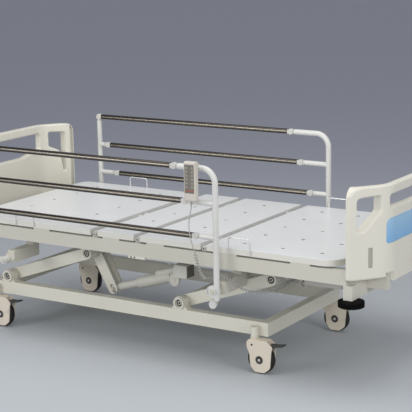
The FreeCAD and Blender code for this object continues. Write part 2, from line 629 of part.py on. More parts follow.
# Bumper discs: ribbed rubber rings that turn on the corner bolts.
for end, end_sign in ENDS:
    for side, side_sign in SIDES:
        tag = end + "_" + side
        top = s.railBottom - s.crossHeight - s.bumperGap
        rings = [(s.bumperBolt + s.runningClearance, 0, 0), (s.bumperRadius - 10, 0, 0)]
        for step in range(3):
            low = -4 - step * 8
            rings += [(s.bumperRadius, low + 1, 1.5), (s.bumperRadius, low - 5, 1.5),
                      (s.bumperRadius - 4, low - 7, 0)]
        rings += [(s.bumperRadius - 12, -s.bumperThickness, 0),
                  (s.bumperBolt + s.runningClearance, -s.bumperThickness, 0)]
        profile = doc.addObject("Sketcher::SketchObject", "bumperSketch" + tag)
        for edge in rounded_loop(rings):
            profile.addGeometry(edge, False)
        centre = Vector(end_sign * (s.bedLength / 2 - s.bumperInset),
                        side_sign * (s.deckWidth / 2 - s.bumperSideInset), top)
        profile.Placement = Placement(centre, Rotation(Vector(1, 0, 0), 90))
        disc = doc.addObject("Part::Revolution", "bumper" + tag)
        disc.Source = profile
        disc.Axis = Vector(0, 0, 1)
        disc.Base = centre
        disc.Angle = 360
        disc.Solid = True
        name_part(disc, "corner_bumper_" + tag)


# Mattress deck: four punched steel pans on stiffeners, hinged by tubes that lie in the gaps.
def deck_pan(tag, start, end, start_corner, end_corner, vent_columns):
    half = s.deckWidth / 2
    low = s.deckTop - s.flangeHeight
    outline = [(start, -half, start_corner), (end, -half, end_corner),
               (end, half, end_corner), (start, half, start_corner)]
    inside = [(start + s.sheet, s.sheet - half, start_corner - s.sheet),
              (end - s.sheet, s.sheet - half, end_corner - s.sheet),
              (end - s.sheet, half - s.sheet, end_corner - s.sheet),
              (start + s.sheet, half - s.sheet, start_corner - s.sheet)]
    vents = [circle_loop(column, row * s.ventPitch, s.ventRadius)
             for column in vent_columns for row in range(-2, 3)]
    top = plate("panTop" + tag, [rounded_loop(outline)] + vents, "sheet", "XY",
                (0, 0, s.deckTop - s.sheet / 2))
    rim = plate("panRim" + tag, [rounded_loop(outline), rounded_loop(inside)], "flangeHeight", "XY",
                (0, 0, low + s.flangeHeight / 2))
    return [top, rim]


def stiffeners(tag, start, end):
    """Two square tubes under a pan."""
    made = []
    for side, sign in SIDES:
        low_y = f"{sign} * stiffenerOffset - stiffener / 2"
        made.append(box(f"stiff{tag}{side}", (start, low_y, "deckTop - sheet - stiffener"),
                        (end - start, "stiffener", "stiffener")))
    return made


def stiffener_voids(tag, start, end):
    made = []
    for side, sign in SIDES:
        low_y = f"{sign} * stiffenerOffset - stiffener / 2 + sheet"
        made.append(box(f"stiffVoid{tag}{side}", (start + 20, low_y, "deckTop - stiffener"),
                        (end - start - 40, "stiffener - 2 * sheet", "stiffener - 2 * sheet")))
    return made


def hinge_tube(tag, where):
    reach = "(deckWidth - railWidth) / 2 - lugThickness / 2 - 1"
    tube = cylinder("hingeRound" + tag, (where, f"-({reach})", "deckTop - hingeDrop"),
                    "hingeRadius", f"2 * ({reach})", "Y")
    return cut("hingeTube" + tag, tube, hinge_bore(tag + "Tube", where, "hingePin + runningClearance"))


def hinge_bore(tag, where, radius):
    return cylinder("hingeBore" + tag, (where, "-deckWidth / 2", "deckTop - hingeDrop"), radius,
                    "deckWidth", "Y")


def deck_crank(tag, hinge, crank_end, offset, slot, hub, notches=()):
    """Two plates that hang from a hinge tube and take an actuator's pin in a slot."""
    made = []
    for place in (-1, 1):
        middle = offset + place * (crank_gap + s.crankPlate) / 2
        made.append(plate(f"deckCrank{tag}{'Low' if place < 0 else 'High'}",
                          [hull_loop((hinge, hinge_height), hub, crank_end, 22),
                           circle_loop(hinge, hinge_height, s.hingeRadius),
                           hull_loop(slot[0], s.actuatorPin + 3.5, slot[1], s.actuatorPin + 3.5)],
                          "crankPlate", "XZ", (0, middle, 0)))
    return [cut(thing.Name + "Notched", thing, *notches) for thing in made] if notches else made


back_crank, knee_crank = (-244, 420), (-20, 432)
back_end, seat_start = s.backHinge - s.backGap, s.backHinge + s.backGap
seat_end, thigh_start = s.thighHinge - s.kneeGap, s.thighHinge + s.kneeGap
thigh_end, leg_start = s.kneeHinge - s.kneeGap, s.kneeHinge + s.kneeGap


def deck_section(tag, label, start, end, corners, vents, beam, hinges, extra):
    """A pan with its stiffeners welded in, and the hinge tubes and cranks they carry."""
    pan = fuse(tag + "Weld", *deck_pan(tag, start, end, *corners, vents), *stiffeners(tag, *beam), *extra)
    room = [hinge_bore(tag + hinge + "Room", hinge, "hingeRadius") for hinge in hinges]
    return label, cut(tag + "Pan", pan, *stiffener_voids(tag, *beam), *room), hinges


def close_section(section, *carried):
    label, pan, hinges = section
    tubes = [hinge_tube(label + hinge, hinge) for hinge in hinges]
    pieces = [pan, *tubes, *carried]
    whole = gather(label + "Whole", *pieces) if len(pieces) > 1 else pan
    name_part(whole, label)


small = (s.smallCorner, s.smallCorner)
close_section(deck_section("Back", "back_section", deck_head, back_end, (s.endCorner, s.smallCorner),
                           (-798, -408), (deck_head + 30, s.backHinge), ("backHinge",), []),
              *deck_crank("Back", s.backHinge, back_crank, -s.backActuatorOffset, (back_crank, (-239.5, 432)),
                          s.hingeRadius + 4))
close_section(deck_section("Seat", "seat_section", seat_start, seat_end, small, (-91,),
                           (seat_start + 1, seat_end - 1), (), []))
close_section(deck_section("Thigh", "thigh_section", thigh_start, thigh_end, small, (187,),
                           (s.thighHinge, s.kneeHinge), ("thighHinge", "kneeHinge"), []),
              *deck_crank("Thigh", s.thighHinge, knee_crank, s.kneeActuatorOffset, (knee_crank, (-18.7, 437)),
                          s.kneeGap - 0.6,
                          [box("thighCrankNotch", ("thighHinge - kneeGap - 40", "kneeActuatorOffset - 60",
                                                   "deckTop - flangeHeight - 1"),
                               (40.5, 120, "flangeHeight + 10"))]))
leg_lugs = []
for side, sign in SIDES:
    leg_lugs.append(plate("legLug" + side, [hull_loop((s.kneeHinge, hinge_height), 11.5,
                                                      (leg_start + 20, hinge_height + 4), 11.5),
                                            circle_loop(s.kneeHinge, hinge_height,
                                                        s.hingePin + s.runningClearance)],
                          "lugThickness", "XZ", (0, sign * (s.deckWidth - s.railWidth) / 2, 0)))
close_section(deck_section("Leg", "leg_section", leg_start, deck_foot, (s.smallCorner, s.deckCorner),
                           (497, 682, 865), (leg_start + 1, deck_foot - 60), (), leg_lugs))


def hinge_pins(label, wheres):
    """Headed pins that enter the hinge tubes from both sides."""
    made = []
    for index, where in enumerate(wheres):
        for side, sign in SIDES:
            tag = f"{label}{index}{side}"
            low = "deckWidth / 2 - 60" if sign > 0 else "-(deckWidth / 2 - 4)"
            shank = cylinder("pin" + tag, (where, low, "deckTop - hingeDrop"), "hingePin", "56", "Y")
            head_low = "deckWidth / 2 - 9" if sign > 0 else "-(deckWidth / 2 - 4)"
            head = cylinder("pinHead" + tag, (where, head_low, "deckTop - hingeDrop"), 9, 5, "Y")
            made.append(fuse("hingePin" + tag, shank, head))
    return gather("pins" + label, *made)


name_part(hinge_pins("Deck", ("backHinge", "thighHinge")), "deck_hinge_pins")
name_part(hinge_pins("Knee", ("kneeHinge",)), "knee_hinge_pins")


# Mattress retainers: wire loops that stand at the deck's long edges.
def retainers(label, start):
    made = []
    rise = s.deckTop + s.loopRise
    foot = s.deckTop - s.flangeHeight + 4
    for side, sign in SIDES:
        y = sign * (s.deckWidth / 2 + s.loopWire + 0.3)
        end = start + s.loopLength
        made.append(swept(f"loop{label}{side}", [(start, y, foot, 0), (start, y, rise, s.loopCorner),
                                                 (end, y, rise, s.loopCorner), (end, y, foot, 0)],
                          s.loopWire))
    return gather("loops" + label, *made)


name_part(retainers("Back", -664), "back_retainers")
name_part(retainers("Leg", 480), "leg_retainers")


# End boards: hollow mouldings, flat in the middle and swept back towards the bed at both sides.
board_half = s.boardWidth / 2
board_face = s.bedLength / 2


def board_line():
    """The outer face in plan, (y, x, bend radius)."""
    return [(-board_half, board_face - s.boardSweep - 14, 0), (-board_half, board_face - s.boardSweep, 18),
            (-s.boardSweepStart, board_face, 140), (s.boardSweepStart, board_face, 140),
            (board_half, board_face - s.boardSweep, 18), (board_half, board_face - s.boardSweep - 14, 0)]


def band(name, near_depth, far_depth, at_end):
    """A curved wall between two depths behind the outer face, standing the full height."""
    outer = offset_line(board_line(), -near_depth)
    inner = offset_line(board_line(), -far_depth)
    corners = [(at_end * x, y, radius) for y, x, radius in outer + inner[::-1]]
    return plate(name, [rounded_loop(corners)], "2 * boardTop", "XY", (0, 0, 0))


def mirrored(points):
    """A right half outline and its mirror image about the middle of the board."""
    return [points, [(-u, v, r) for u, v, r in points]]


def board_shape(name, at_end, edge, near_depth, far_depth, window, corner):
    """A board's solid with its outline drawn in by an edge distance and its windows grown by it."""
    top, low = s.boardTop - edge, s.boardBottom + edge
    half = board_half - edge
    notch_in = s.boardArmOffset - s.boardArm / 2 - 1.5 - edge
    notch_out = s.boardArmOffset + s.boardArm / 2 + 1.5 + edge
    notch_top = s.railBottom + s.boardArm + s.padClearance + edge
    right = [(half, top, 52), (half, low + 22, 14), (notch_out, low + 22, 3),
             (notch_out, notch_top, 3), (notch_in, notch_top, 3), (notch_in, low, 6)]
    left = [(-u, v, r) for u, v, r in right[::-1]]
    loops = [rounded_loop(left + right)]
    inner, window_low, window_mid = window[0] + edge, window[1] - edge, window[2] - edge
    loops.append(rounded_loop([(-inner, 822 + edge, 14), (inner, 822 + edge, 14), (inner, window_low, 14),
                               (150, window_mid, 120), (-150, window_mid, 120), (-inner, window_low, 14)]))
    grown = [(u + edge * out_u, v + edge * out_v, r) for u, v, r, out_u, out_v in corner]
    for points in mirrored(grown):
        loops.append(rounded_loop(points))
    elevation = plate(name + "Elevation", loops, "bedLength / 2", "YZ", (at_end * s.bedLength / 2, 0, 0))
    made = doc.addObject("Part::Common", name)
    made.Base = elevation
    made.Tool = band(name + "Band", near_depth, far_depth, at_end)
    return made


def end_board(label, at_end, window, corner, extra_cuts):
    """A board with its hollow core and a shallow upright slot on each side of its outer face."""
    skin = s.boardSkin
    outer = board_shape(label + "Outer", at_end, 0, 0, s.boardThickness, window, corner)
    core = board_shape(label + "Core", at_end, skin, skin + s.inlayThickness, s.boardThickness - skin,
                       window, corner)
    slots = []
    for side, sign in SIDES:
        low, high = sorted((sign * 378, sign * 392))
        slots.append(inlay_shape(f"{label}Slot{side}", at_end, rounded_loop(
            [(low, 535, 4), (high, 535, 4), (high, 617, 4), (low, 617, 4)]), -30, 3))
    return name_part(cut(label + "Board", outer, core, *slots, *extra_cuts), label)


def inlay_shape(name, at_end, loop, near_depth, far_depth):
    """A panel of one outline that follows the board's outer face between two depths."""
    made = doc.addObject("Part::Common", name)
    made.Base = plate(name + "Elevation", [loop], "bedLength / 2", "YZ", (at_end * s.bedLength / 2, 0, 0))
    made.Tool = band(name + "Band", near_depth, far_depth, at_end)
    return made


def panel_loop(half, low, high, corner):
    return rounded_loop([(-half, low, 12), (half, low, 12), (half, high, corner), (-half, high, corner)])


# The corner windows, each point with the way it moves when the window grows.
head_corner = [(336, 824, 12, -1, 1), (410, 820, 14, 1, 1), (410, 620, 4, 1, -1), (398, 620, 4, -1, -1),
               (386, 726, 30, -1, -0.4), (336, 752, 22, -1, -1)]
foot_corner = [(345, 824, 10, -1, 1), (429, 818, 16, 1, 1), (431, 685, 10, 1, -1), (405, 684, 12, -0.8, -1),
               (345, 764, 22, -1, -0.7)]
end_board("headboard", -1, (292, 740, 714), head_corner, [])
end_board("footboard", 1, (303, 774, 768), foot_corner,
          [inlay_shape("inlayRecess", 1, panel_loop(325.4, 625.6, 728.4, 28.4), -4, s.inlayThickness)])
name_part(inlay_shape("inlay", 1, panel_loop(325, 626, 728, 28), 0.6, s.inlayThickness), "footboard_inlay")


# Side rails: three stainless bars between a foot post and a head post that fold together.
pins = [(s.footPinTop + step * s.pinStepX, s.railTop - step * s.pinStepZ) for step in range(3)]


def eye(name, at, plane_y):
    """A flat eye for a rivet, and its hole."""
    disc = cylinder(name, (at[0], f"{plane_y} - eyeThickness / 2", at[1]), "eyeRadius", "eyeThickness", "Y")
    hole = cylinder(name + "Hole", (at[0], f"{plane_y} - eyeThickness", at[1]),
                    "rivetRadius + runningClearance", "2 * eyeThickness", "Y")
    return disc, hole


def neck(name, start_x, end_x, z, plane_y):
    """The flattened tube end between an eye and its stub."""
    low, high = sorted((start_x, end_x))
    return box(name, (low, f"{plane_y} - eyeThickness / 2", z - 9), (high - low, "eyeThickness", 18))


def foot_post(side, sign):
    y = sign * s.railPlane
    tag = "foot" + side
    top = pins[0]
    bend = swept("postTube" + tag, [(top[0] + 22, y, s.railTop, 0), (s.footPostX, y, s.railTop, s.postBend),
                                    (s.footPostX, y, s.railPivotZ - 37, 0)], s.postRadius)
    core = swept("postCore" + tag, [(top[0] + 26, y, s.railTop, 0), (s.footPostX, y, s.railTop, s.postBend),
                                    (s.footPostX, y, s.railPivotZ - 33, 0)], s.postRadius - s.postWall)
    pieces, holes = [bend], []
    for index, at in enumerate(pins):
        disc, hole = eye(f"postEye{tag}{index}", at, y)
        pieces += [disc, neck(f"postNeck{tag}{index}", at[0], at[0] + 24, at[1], y)]
        holes.append(hole)
        if index:
            pieces.append(cylinder(f"postStub{tag}{index}", (at[0] + 22, y, at[1]), "postRadius - 1",
                                   s.footPostX - at[0] - 26, "X"))
    pivot = (s.railPivotX, s.railPivotZ)
    pieces.append(cylinder("postSleeve" + tag, (pivot[0], f"{y} - postRadius - 0.4", pivot[1]), "hubRadius",
                           "2 * postRadius + 0.8", "Y"))
    holes.append(cylinder("postBore" + tag, (pivot[0], f"{y} - 2 * postRadius", pivot[1]),
                          "pivotPin + runningClearance", "4 * postRadius", "Y"))
    hollow = cut("postHollow" + tag, fuse("postBody" + tag, *pieces), *holes)
    sealed = cut("post" + tag, hollow, core)
    return name_part(sealed, f"rail_{side}_foot_post")


def head_post(side, sign):
    y = sign * s.railPlane
    tag = "head" + side
    shifted = [(x - s.barSpan, z) for x, z in pins]
    post_x = shifted[0][0]
    pivot = (s.railPivotX - s.barSpan, s.railPivotZ)
    tube = swept("postTube" + tag, [(post_x, y, s.railTop - 22, 0), (post_x, y, s.railPivotZ, s.postBend),
                                    (pivot[0] - 10, y, s.railPivotZ, 0)], s.postRadius)
    core = swept("postCore" + tag, [(post_x, y, s.railTop - 26, 0), (post_x, y, s.railPivotZ, s.postBend),
                                    (pivot[0] - 18, y, s.railPivotZ, 0)], s.postRadius - s.postWall)
    pieces, holes = [tube], []
    for index, at in enumerate(shifted):
        disc, hole = eye(f"postEye{tag}{index}", at, y)
        pieces.append(disc)
        holes.append(hole)
        if index:
            pieces.append(neck(f"postNeck{tag}{index}", at[0] - 24, at[0], at[1], y))
            pieces.append(cylinder(f"postStub{tag}{index}", (post_x + 4, y, at[1]), "postRadius - 1",
                                   at[0] - 22 - post_x - 4, "X"))
        else:
            pieces.append(box(f"postNeck{tag}{index}", (at[0] - 9, f"{y} - eyeThickness / 2", at[1] - 26),
                              (18, "eyeThickness", 26)))
    pieces.append(cylinder("postSleeve" + tag, (pivot[0], f"{y} - postRadius - 0.4", pivot[1]),
                           "sleeveRadius", "2 * postRadius + 0.8", "Y"))
    holes.append(cylinder("postBore" + tag, (pivot[0], f"{y} - 2 * postRadius", pivot[1]),
                          "pivotPin + runningClearance", "4 * postRadius", "Y"))
    hollow = cut("postHollow" + tag, fuse("postBody" + tag, *pieces), *holes)
    sealed = cut("post" + tag, hollow, core)
    return name_part(sealed, f"rail_{side}_head_post")


def rail_bar(side, sign, index, label):
    """A stainless tube with a riveted fork at each end."""
    y = sign * s.railPlane
    tag = f"{side}{label}"
    foot_x, z = pins[index]
    head_x = foot_x - s.barSpan
    inset = 17
    tube = cylinder("bar" + tag, (head_x + inset, y, z), "barRadius", foot_x - head_x - 2 * inset, "X")
    core = cylinder("barCore" + tag, (head_x + inset + 24, y, z), "barRadius - postWall",
                    foot_x - head_x - 2 * inset - 48, "X")
    pieces = [tube]
    for place, at in (("Foot", foot_x), ("Head", head_x)):
        towards = -1 if place == "Foot" else 1
        for half, offset in (("Low", -1), ("High", 1)):
            low_y = f"{y} + {offset} * (eyeThickness / 2 + 0.4 + forkPlate / 2) - forkPlate / 2"
            pieces.append(cylinder(f"fork{tag}{place}{half}", (at, low_y, z), "eyeRadius - 1",
                                   "forkPlate", "Y"))
            low_x = min(at, at + towards * (inset + 8))
            pieces.append(box(f"forkArm{tag}{place}{half}", (low_x, low_y, z - 10),
                              (inset + 8, "forkPlate", 20)))
        pieces.append(cylinder(f"rivet{tag}{place}", (at, f"{y} - eyeThickness / 2 - forkPlate - 2", z),
                               "rivetRadius", "eyeThickness + 2 * forkPlate + 4", "Y"))
    return name_part(cut("barBody" + tag, fuse("barWeld" + tag, *pieces), core), f"rail_{side}_{label}_bar")


def release_knob(side, sign):
    """A pull knob on a pin that passes through the foot bracket."""
    pin_low = "railArmOuter - 4" if sign > 0 else "-(railArmOuter + bracketPlate + 4)"
    pin = cylinder("knobPin" + side, (s.knobX, pin_low, s.knobZ), 5, "bracketPlate + 8", "Y")
    disc_low = "railArmOuter + bracketPlate + 0.5" if sign > 0 else "-(railArmOuter + bracketPlate + 8.5)"
    disc = cylinder("knobDisc" + side, (s.knobX, disc_low, s.knobZ), "knobRadius", 8, "Y")
    return name_part(fuse("knob" + side, pin, disc), f"rail_{side}_release_knob")


for side, sign in SIDES:
    foot_post(side, sign)
    head_post(side, sign)
    for index, label in enumerate(("top", "middle", "lower")):
        rail_bar(side, sign, index, label)
    release_knob(side, sign)

# Handset: a rounded case with a hook over the near foot post and a keypad on its face.
case = box("handsetCase", ("handsetX - handsetWidth / 2", "handsetY - handsetDepth / 2", "handsetBottom"),
           ("handsetWidth", "handsetDepth", "handsetHeight"))
doc.recompute()
soft_case = doc.addObject("Part::Fillet", "handsetSoft")
soft_case.Base = case
soft_case.Edges = [(index, 7, 7) for index in range(1, 13)]
hook_in, hook_out = s.postRadius + s.hookGap, s.postRadius + s.hookGap + s.hookPlate
hook_ring = cylinder("hookRing", ("handsetX - 14", "-railPlane", "railTop"), hook_out, 28, "X")
hook_hole = cylinder("hookHole", ("handsetX - 15", "-railPlane", "railTop"), hook_in, 30, "X")
hook_low = box("hookLow", ("handsetX - 15", f"-railPlane - {hook_out + 1}", f"railTop - {hook_out + 1}"),
               (30, 2 * hook_out + 2, hook_out + 1))
hook_arch = cut("hookArch", hook_ring, fuse("hookAway", hook_hole, hook_low))
hook_front = box("hookFront", ("handsetX - 14", f"-railPlane - {hook_out}", "railTop - 22"),
                 (28, "hookPlate", 22))
hook_back = box("hookBack", ("handsetX - 14", f"-railPlane + {hook_in}", "railTop - 14"),
                (28, "hookPlate", 14))
hook_root = box("hookRoot", ("handsetX - 14", "handsetY + handsetDepth / 2 - 1", "railTop - 20"),
                (28, f"-railPlane - {hook_out} - handsetY - handsetDepth / 2 + 2", 16))
pad_hollow = box("padHollow",
                 ("handsetX - handsetWidth / 2 + 6", "handsetY - handsetDepth / 2 - 1", "handsetBottom + 34"),
                 ("handsetWidth - 12", 2.5, "handsetHeight - 46"))
handset_whole = fuse("handsetWhole", soft_case, hook_arch, hook_front, hook_back, hook_root)
name_part(cut("handset", handset_whole, pad_hollow), "handset_body")
name_part(box("keypad", ("handsetX - handsetWidth / 2 + 6.2", "handsetY - handsetDepth / 2 + 0.4",
                         "handsetBottom + 34.2"),
              ("handsetWidth - 12.4", 1.1, "handsetHeight - 46.4")), "handset_keypad")


# Actuators: a rear eye, a gear case with its motor, an outer tube and a sliding rod.
def actuator(label, rear, front, offset, tube_length, rod_inside):
    """Built along X from the rear pin, then turned to the line of its two pins."""
    length = math.hypot(front[0] - rear[0], front[1] - rear[1])
    lean = math.degrees(math.atan2(front[1] - rear[1], front[0] - rear[0]))
    place = Placement(Vector(rear[0], offset, rear[1]), Rotation(Vector(0, 1, 0), -lean))
    belly = -1 if abs(lean) > 90 else 1
    gear_y = "-gearWidth / 2"
    pieces = [
        cylinder(label + "Eye", (0, "-rodEye - 3", 0), 14, "2 * rodEye + 6", "Y"),
        box(label + "Neck", (0, "-rodEye - 3", -13), (40, "2 * rodEye + 6", 26)),
        cylinder(label + "Gear", (58, gear_y, 0), "gearRadius - 8", "gearWidth", "Y"),
        cylinder(label + "Motor", (24, 0, belly * 24), 19, 112, "X"),
        box(label + "Case", (28, gear_y, -22 if belly > 0 else -34), (52, "gearWidth", 56)),
        cylinder(label + "Outer", (60, 0, 0), "outerTubeRadius", tube_length - 60, "X"),
    ]
    holes = [
        cylinder(label + "PinHole", (0, -60, 0), "actuatorPin", 120, "Y"),
        cylinder(label + "Bore", (82, 0, 0), "rodRadius + runningClearance", tube_length, "X"),
    ]
    case = cut(label + "Housing", fuse(label + "HousingWeld", *pieces), *holes)
    case.Placement = place
    name_part(case, label + "_actuator_housing")
    shaft = cylinder(label + "Rod", (tube_length - rod_inside, 0, 0), "rodRadius",
                     length - tube_length + rod_inside - 10, "X")
    tip = cylinder(label + "Tip", (length, "-(rodRadius + 1)", 0), 14, "2 * rodRadius + 2", "Y")
    pin = cylinder(label + "Pin", (length, "-(rodRadius + crankClearance + crankPlate + 3)", 0),
                   "actuatorPin", "2 * (rodRadius + crankClearance + crankPlate + 3)", "Y")
    rod = fuse(label + "RodWeld", shaft, tip, pin)
    rod.Placement = place
    name_part(rod, label + "_actuator_rod")
    print(f"{label} actuator: length {length:.1f}, lean {lean:.2f}")


actuator("head_lift", lift_rear["head"], head_crank, -s.liftActuatorOffset, 250, 70)
actuator("foot_lift", lift_rear["foot"], foot_crank, s.liftActuatorOffset, 260, 120)
actuator("backrest", back_rear, back_crank, -s.backActuatorOffset, 210, 120)
actuator("knee", knee_rear, knee_crank, s.kneeActuatorOffset, 240, 110)

# Control box under the inner tubes near the foot end, with the gland of the handset cord.
control = box("controlCase", (700, -205, "railBottom - innerHeight - 54"), (180, 140, 54))
doc.recompute()
control_soft = doc.addObject("Part::Fillet", "controlSoft")
control_soft.Base = control
control_soft.Edges = [(index, 5, 5) for index in (1, 3, 5, 7)]
control_tab = box("controlTab", (720, -250, "railBottom - innerHeight - 3"), (140, 60, 3))
gland = cylinder("controlGland", (686, -150, 398), 10, 16, "X")
name_part(fuse("controlBox", control_soft, control_tab, gland), "control_box")

# Handset cord: a straight lead from the handset, then a curly stretch to the control box.
lead_points = [(357, -541, 764), (357, -541, 736), (346, -540, 700), (339, -538, 662), (340, -536, 624),
               (348, -534, 586), (358.8, -532, 552.6)]
curl_points = [(359, -532, 552), (367, -531, 522), (376, -530, 490), (385, -529, 464), (391, -524, 442),
               (398, -505, 426), (414, -482, 428), (440, -468, 436), (482, -457, 431), (508, -450, 406),
               (544, -434, 380), (584, -402, 368), (620, -350, 366), (638, -290, 372), (646, -236, 382),
               (650, -190, 390), (660, -152, 397), (685, -150, 398)]


def cord(label, points, radius):
    """A tube on straight runs and arcs as large as its runs allow."""
    spots = [Vector(*point) for point in points]
    runs = [(spots[i + 1] - spots[i]).Length for i in range(len(spots) - 1)]
    routed = [(*points[0], 0)]
    radii = []
    for i in range(1, len(spots) - 1):
        turn = (spots[i] - spots[i - 1]).getAngle(spots[i + 1] - spots[i])
        bend = 0.45 * min(runs[i - 1], runs[i]) / math.tan(turn / 2)
        radii.append(bend)
        routed.append((*points[i], bend))
    routed.append((*points[-1], 0))
    made = swept(label + "Tube", routed, radius)
    along = bent_path(routed).Length
    full = math.pi * radius * radius * along
    print(f"{label}: length {along:.0f}, volume ratio {made.Shape.Volume / full:.4f}, radii",
          [round(bend) for bend in radii])
    return name_part(made, label)


cord("handset_lead", lead_points, s.leadRadius)
cord("handset_curly_cord", curl_points, s.curlRadius)

doc.recompute()
for thing in doc.Objects:
    if "Invalid" in thing.State or "Error" in thing.State:
        raise RuntimeError(f"{thing.Name} failed: {thing.State}")
for thing in sub_parts:
    if thing.Shape.isNull() or not thing.Shape.isValid():
        raise RuntimeError(f"{thing.Label} has no valid shape")

os.makedirs("parts", exist_ok=True)
for thing in sub_parts:
    thing.Shape.exportStep(f"parts/{thing.Label}.step")
print(f"{len(sub_parts)} sub-parts written")
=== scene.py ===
import bpy
import bmesh
import math
from mathutils import Matrix, Vector


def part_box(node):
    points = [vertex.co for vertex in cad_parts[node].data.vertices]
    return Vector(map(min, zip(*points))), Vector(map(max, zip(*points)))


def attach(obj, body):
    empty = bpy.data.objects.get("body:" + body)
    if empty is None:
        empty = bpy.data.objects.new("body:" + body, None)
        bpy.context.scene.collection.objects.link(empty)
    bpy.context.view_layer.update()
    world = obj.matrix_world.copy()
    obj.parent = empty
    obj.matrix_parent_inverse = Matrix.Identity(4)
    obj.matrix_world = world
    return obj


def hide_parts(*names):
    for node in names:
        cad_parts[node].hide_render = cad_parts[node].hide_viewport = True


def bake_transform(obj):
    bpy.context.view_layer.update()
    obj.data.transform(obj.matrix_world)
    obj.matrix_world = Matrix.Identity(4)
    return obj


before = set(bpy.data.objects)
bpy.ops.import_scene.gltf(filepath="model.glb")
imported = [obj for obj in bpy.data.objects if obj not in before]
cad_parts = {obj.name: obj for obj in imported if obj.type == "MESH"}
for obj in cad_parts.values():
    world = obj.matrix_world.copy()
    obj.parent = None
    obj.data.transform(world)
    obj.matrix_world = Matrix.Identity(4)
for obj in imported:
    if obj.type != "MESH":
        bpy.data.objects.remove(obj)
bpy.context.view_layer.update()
print("frame loaded:", len(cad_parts), "nodes")


class Wire:
    # one output of a node; sums and products of wires add Math nodes
    def __init__(self, look, socket):
        self.look = look
        self.socket = socket

    def math(self, operation, first, second):
        return self.look.node("ShaderNodeMath", {"operation": operation}, {0: first, 1: second})

    def __add__(self, other):
        return self.math("ADD", self, other)

    def __sub__(self, other):
        return self.math("SUBTRACT", self, other)

    def __rsub__(self, other):
        return self.math("SUBTRACT", other, self)

    def __mul__(self, other):
        return self.math("MULTIPLY", self, other)

    def __gt__(self, other):
        return self.math("GREATER_THAN", self, other)

    def __lt__(self, other):
        return self.math("LESS_THAN", self, other)

    def __abs__(self):
        return self.math("ABSOLUTE", self, 0)

    __radd__ = __add__
    __rmul__ = __mul__


class Look:
    # a material; constants go straight on its shader, wires only where something varies
    def __init__(self, name, **fixed):
        self.material = bpy.data.materials.new(name)
        self.material.use_nodes = True
        self.tree = self.material.node_tree
        self.shader = self.tree.nodes["Principled BSDF"]
        for key, value in fixed.items():
            self.shader.inputs[key.replace("_", " ")].default_value = value

    def node(self, kind, settings, sockets, output=0):
        made = self.tree.nodes.new(kind)
        for key, value in settings.items():
            if key == "stops":
                ramp = made.color_ramp
                while len(ramp.elements) < len(value):
                    ramp.elements.new(0.5)
                for element, (place, colour) in zip(ramp.elements, value):
                    element.position = place
                    element.color = (*colour, 1) if len(colour) == 3 else colour
            else:
                setattr(made, key, value)
        for key, value in sockets.items():
            self.feed(made.inputs[key], value)
        return Wire(self, made.outputs[output])

    def feed(self, target, value):
        if isinstance(value, Wire):
            self.tree.links.new(value.socket, target)
        else:
            target.default_value = value

    def surface(self, key, value):
        self.feed(self.shader.inputs[key], value)

    def place(self, stretch=(1, 1, 1)):
        spot = self.node("ShaderNodeTexCoord", {}, {}, 3)
        return self.node("ShaderNodeVectorMath", {"operation": "MULTIPLY"}, {0: spot, 1: stretch})

    def noise(self, scale, detail=3, stretch=(1, 1, 1)):
        return self.node("ShaderNodeTexNoise", {},
                         {"Vector": self.place(stretch), "Scale": scale, "Detail": detail})

    def mix(self, factor, first, second):
        made = self.tree.nodes.new("ShaderNodeMix")
        made.data_type = "RGBA"
        self.feed(made.inputs[0], factor)
        self.feed(made.inputs[6], first if isinstance(first, Wire) else (*first, 1))
        self.feed(made.inputs[7], second if isinstance(second, Wire) else (*second, 1))
        return Wire(self, made.outputs[2])

    def bump(self, height, depth, strength=0.3):
        self.surface("Normal", self.node("ShaderNodeBump", {}, {"Height": height, "Distance": depth,
                                                                "Strength": strength}))

    def axes(self):
        spot = self.node("ShaderNodeTexCoord", {}, {}, 3)
        split = self.tree.nodes.new("ShaderNodeSeparateXYZ")
        self.feed(split.inputs[0], spot)
        return [Wire(self, out) for out in split.outputs]


def shade(red, green, blue):
    # a colour read off a screen, 0 to 255, as the linear numbers a shader takes
    return tuple((c / 255 / 12.92) if c < 11 else ((c / 255 + 0.055) / 1.055) ** 2.4
                 for c in (red, green, blue))


def powderCoat(name, colour, dirt, rough, grain=420):
    look = Look(name, Coat_Weight=0.15, Coat_Roughness=0.25, Specular_IOR_Level=0.45)
    cloud = look.noise(5.5, 4)
    fine = look.noise(grain, 2)
    look.surface("Base Color", look.mix(cloud * 0.9 - 0.15, colour, dirt))
    look.surface("Roughness", rough + 0.14 * cloud - 0.06 * fine)
    look.bump(fine, 0.0006, 0.16)
    return look


def moulding(name, colour, dirt, rough, grain=900, depth=0.0004):
    look = Look(name, Specular_IOR_Level=0.42)
    cloud = look.noise(7, 4)
    fine = look.noise(grain, 3)
    look.surface("Base Color", look.mix(cloud * 0.8 - 0.1, colour, dirt))
    look.surface("Roughness", rough + 0.12 * cloud)
    look.bump(fine, depth, 0.22)
    return look


def rubber(name, colour, dust):
    look = Look(name, Specular_IOR_Level=0.3)
    scuff = look.noise(34, 5)
    pores = look.noise(700, 3)
    look.surface("Base Color", look.mix(scuff * 0.55 - 0.12, colour, dust))
    look.surface("Roughness", 0.5 + 0.25 * scuff)
    look.bump(pores, 0.0006, 0.3)
    return look


def polishedWire(name, colour):
    # bare steel with fine marks in its polish
    look = Look(name, Metallic=1.0)
    lines = look.noise(260, 3)
    smear = look.noise(9, 3)
    look.surface("Base Color", look.mix(lines * 0.6, colour, tuple(c * 0.82 for c in colour)))
    look.surface("Roughness", 0.16 + 0.08 * lines + 0.05 * smear)
    look.bump(lines, 0.0002, 0.05)
    return look


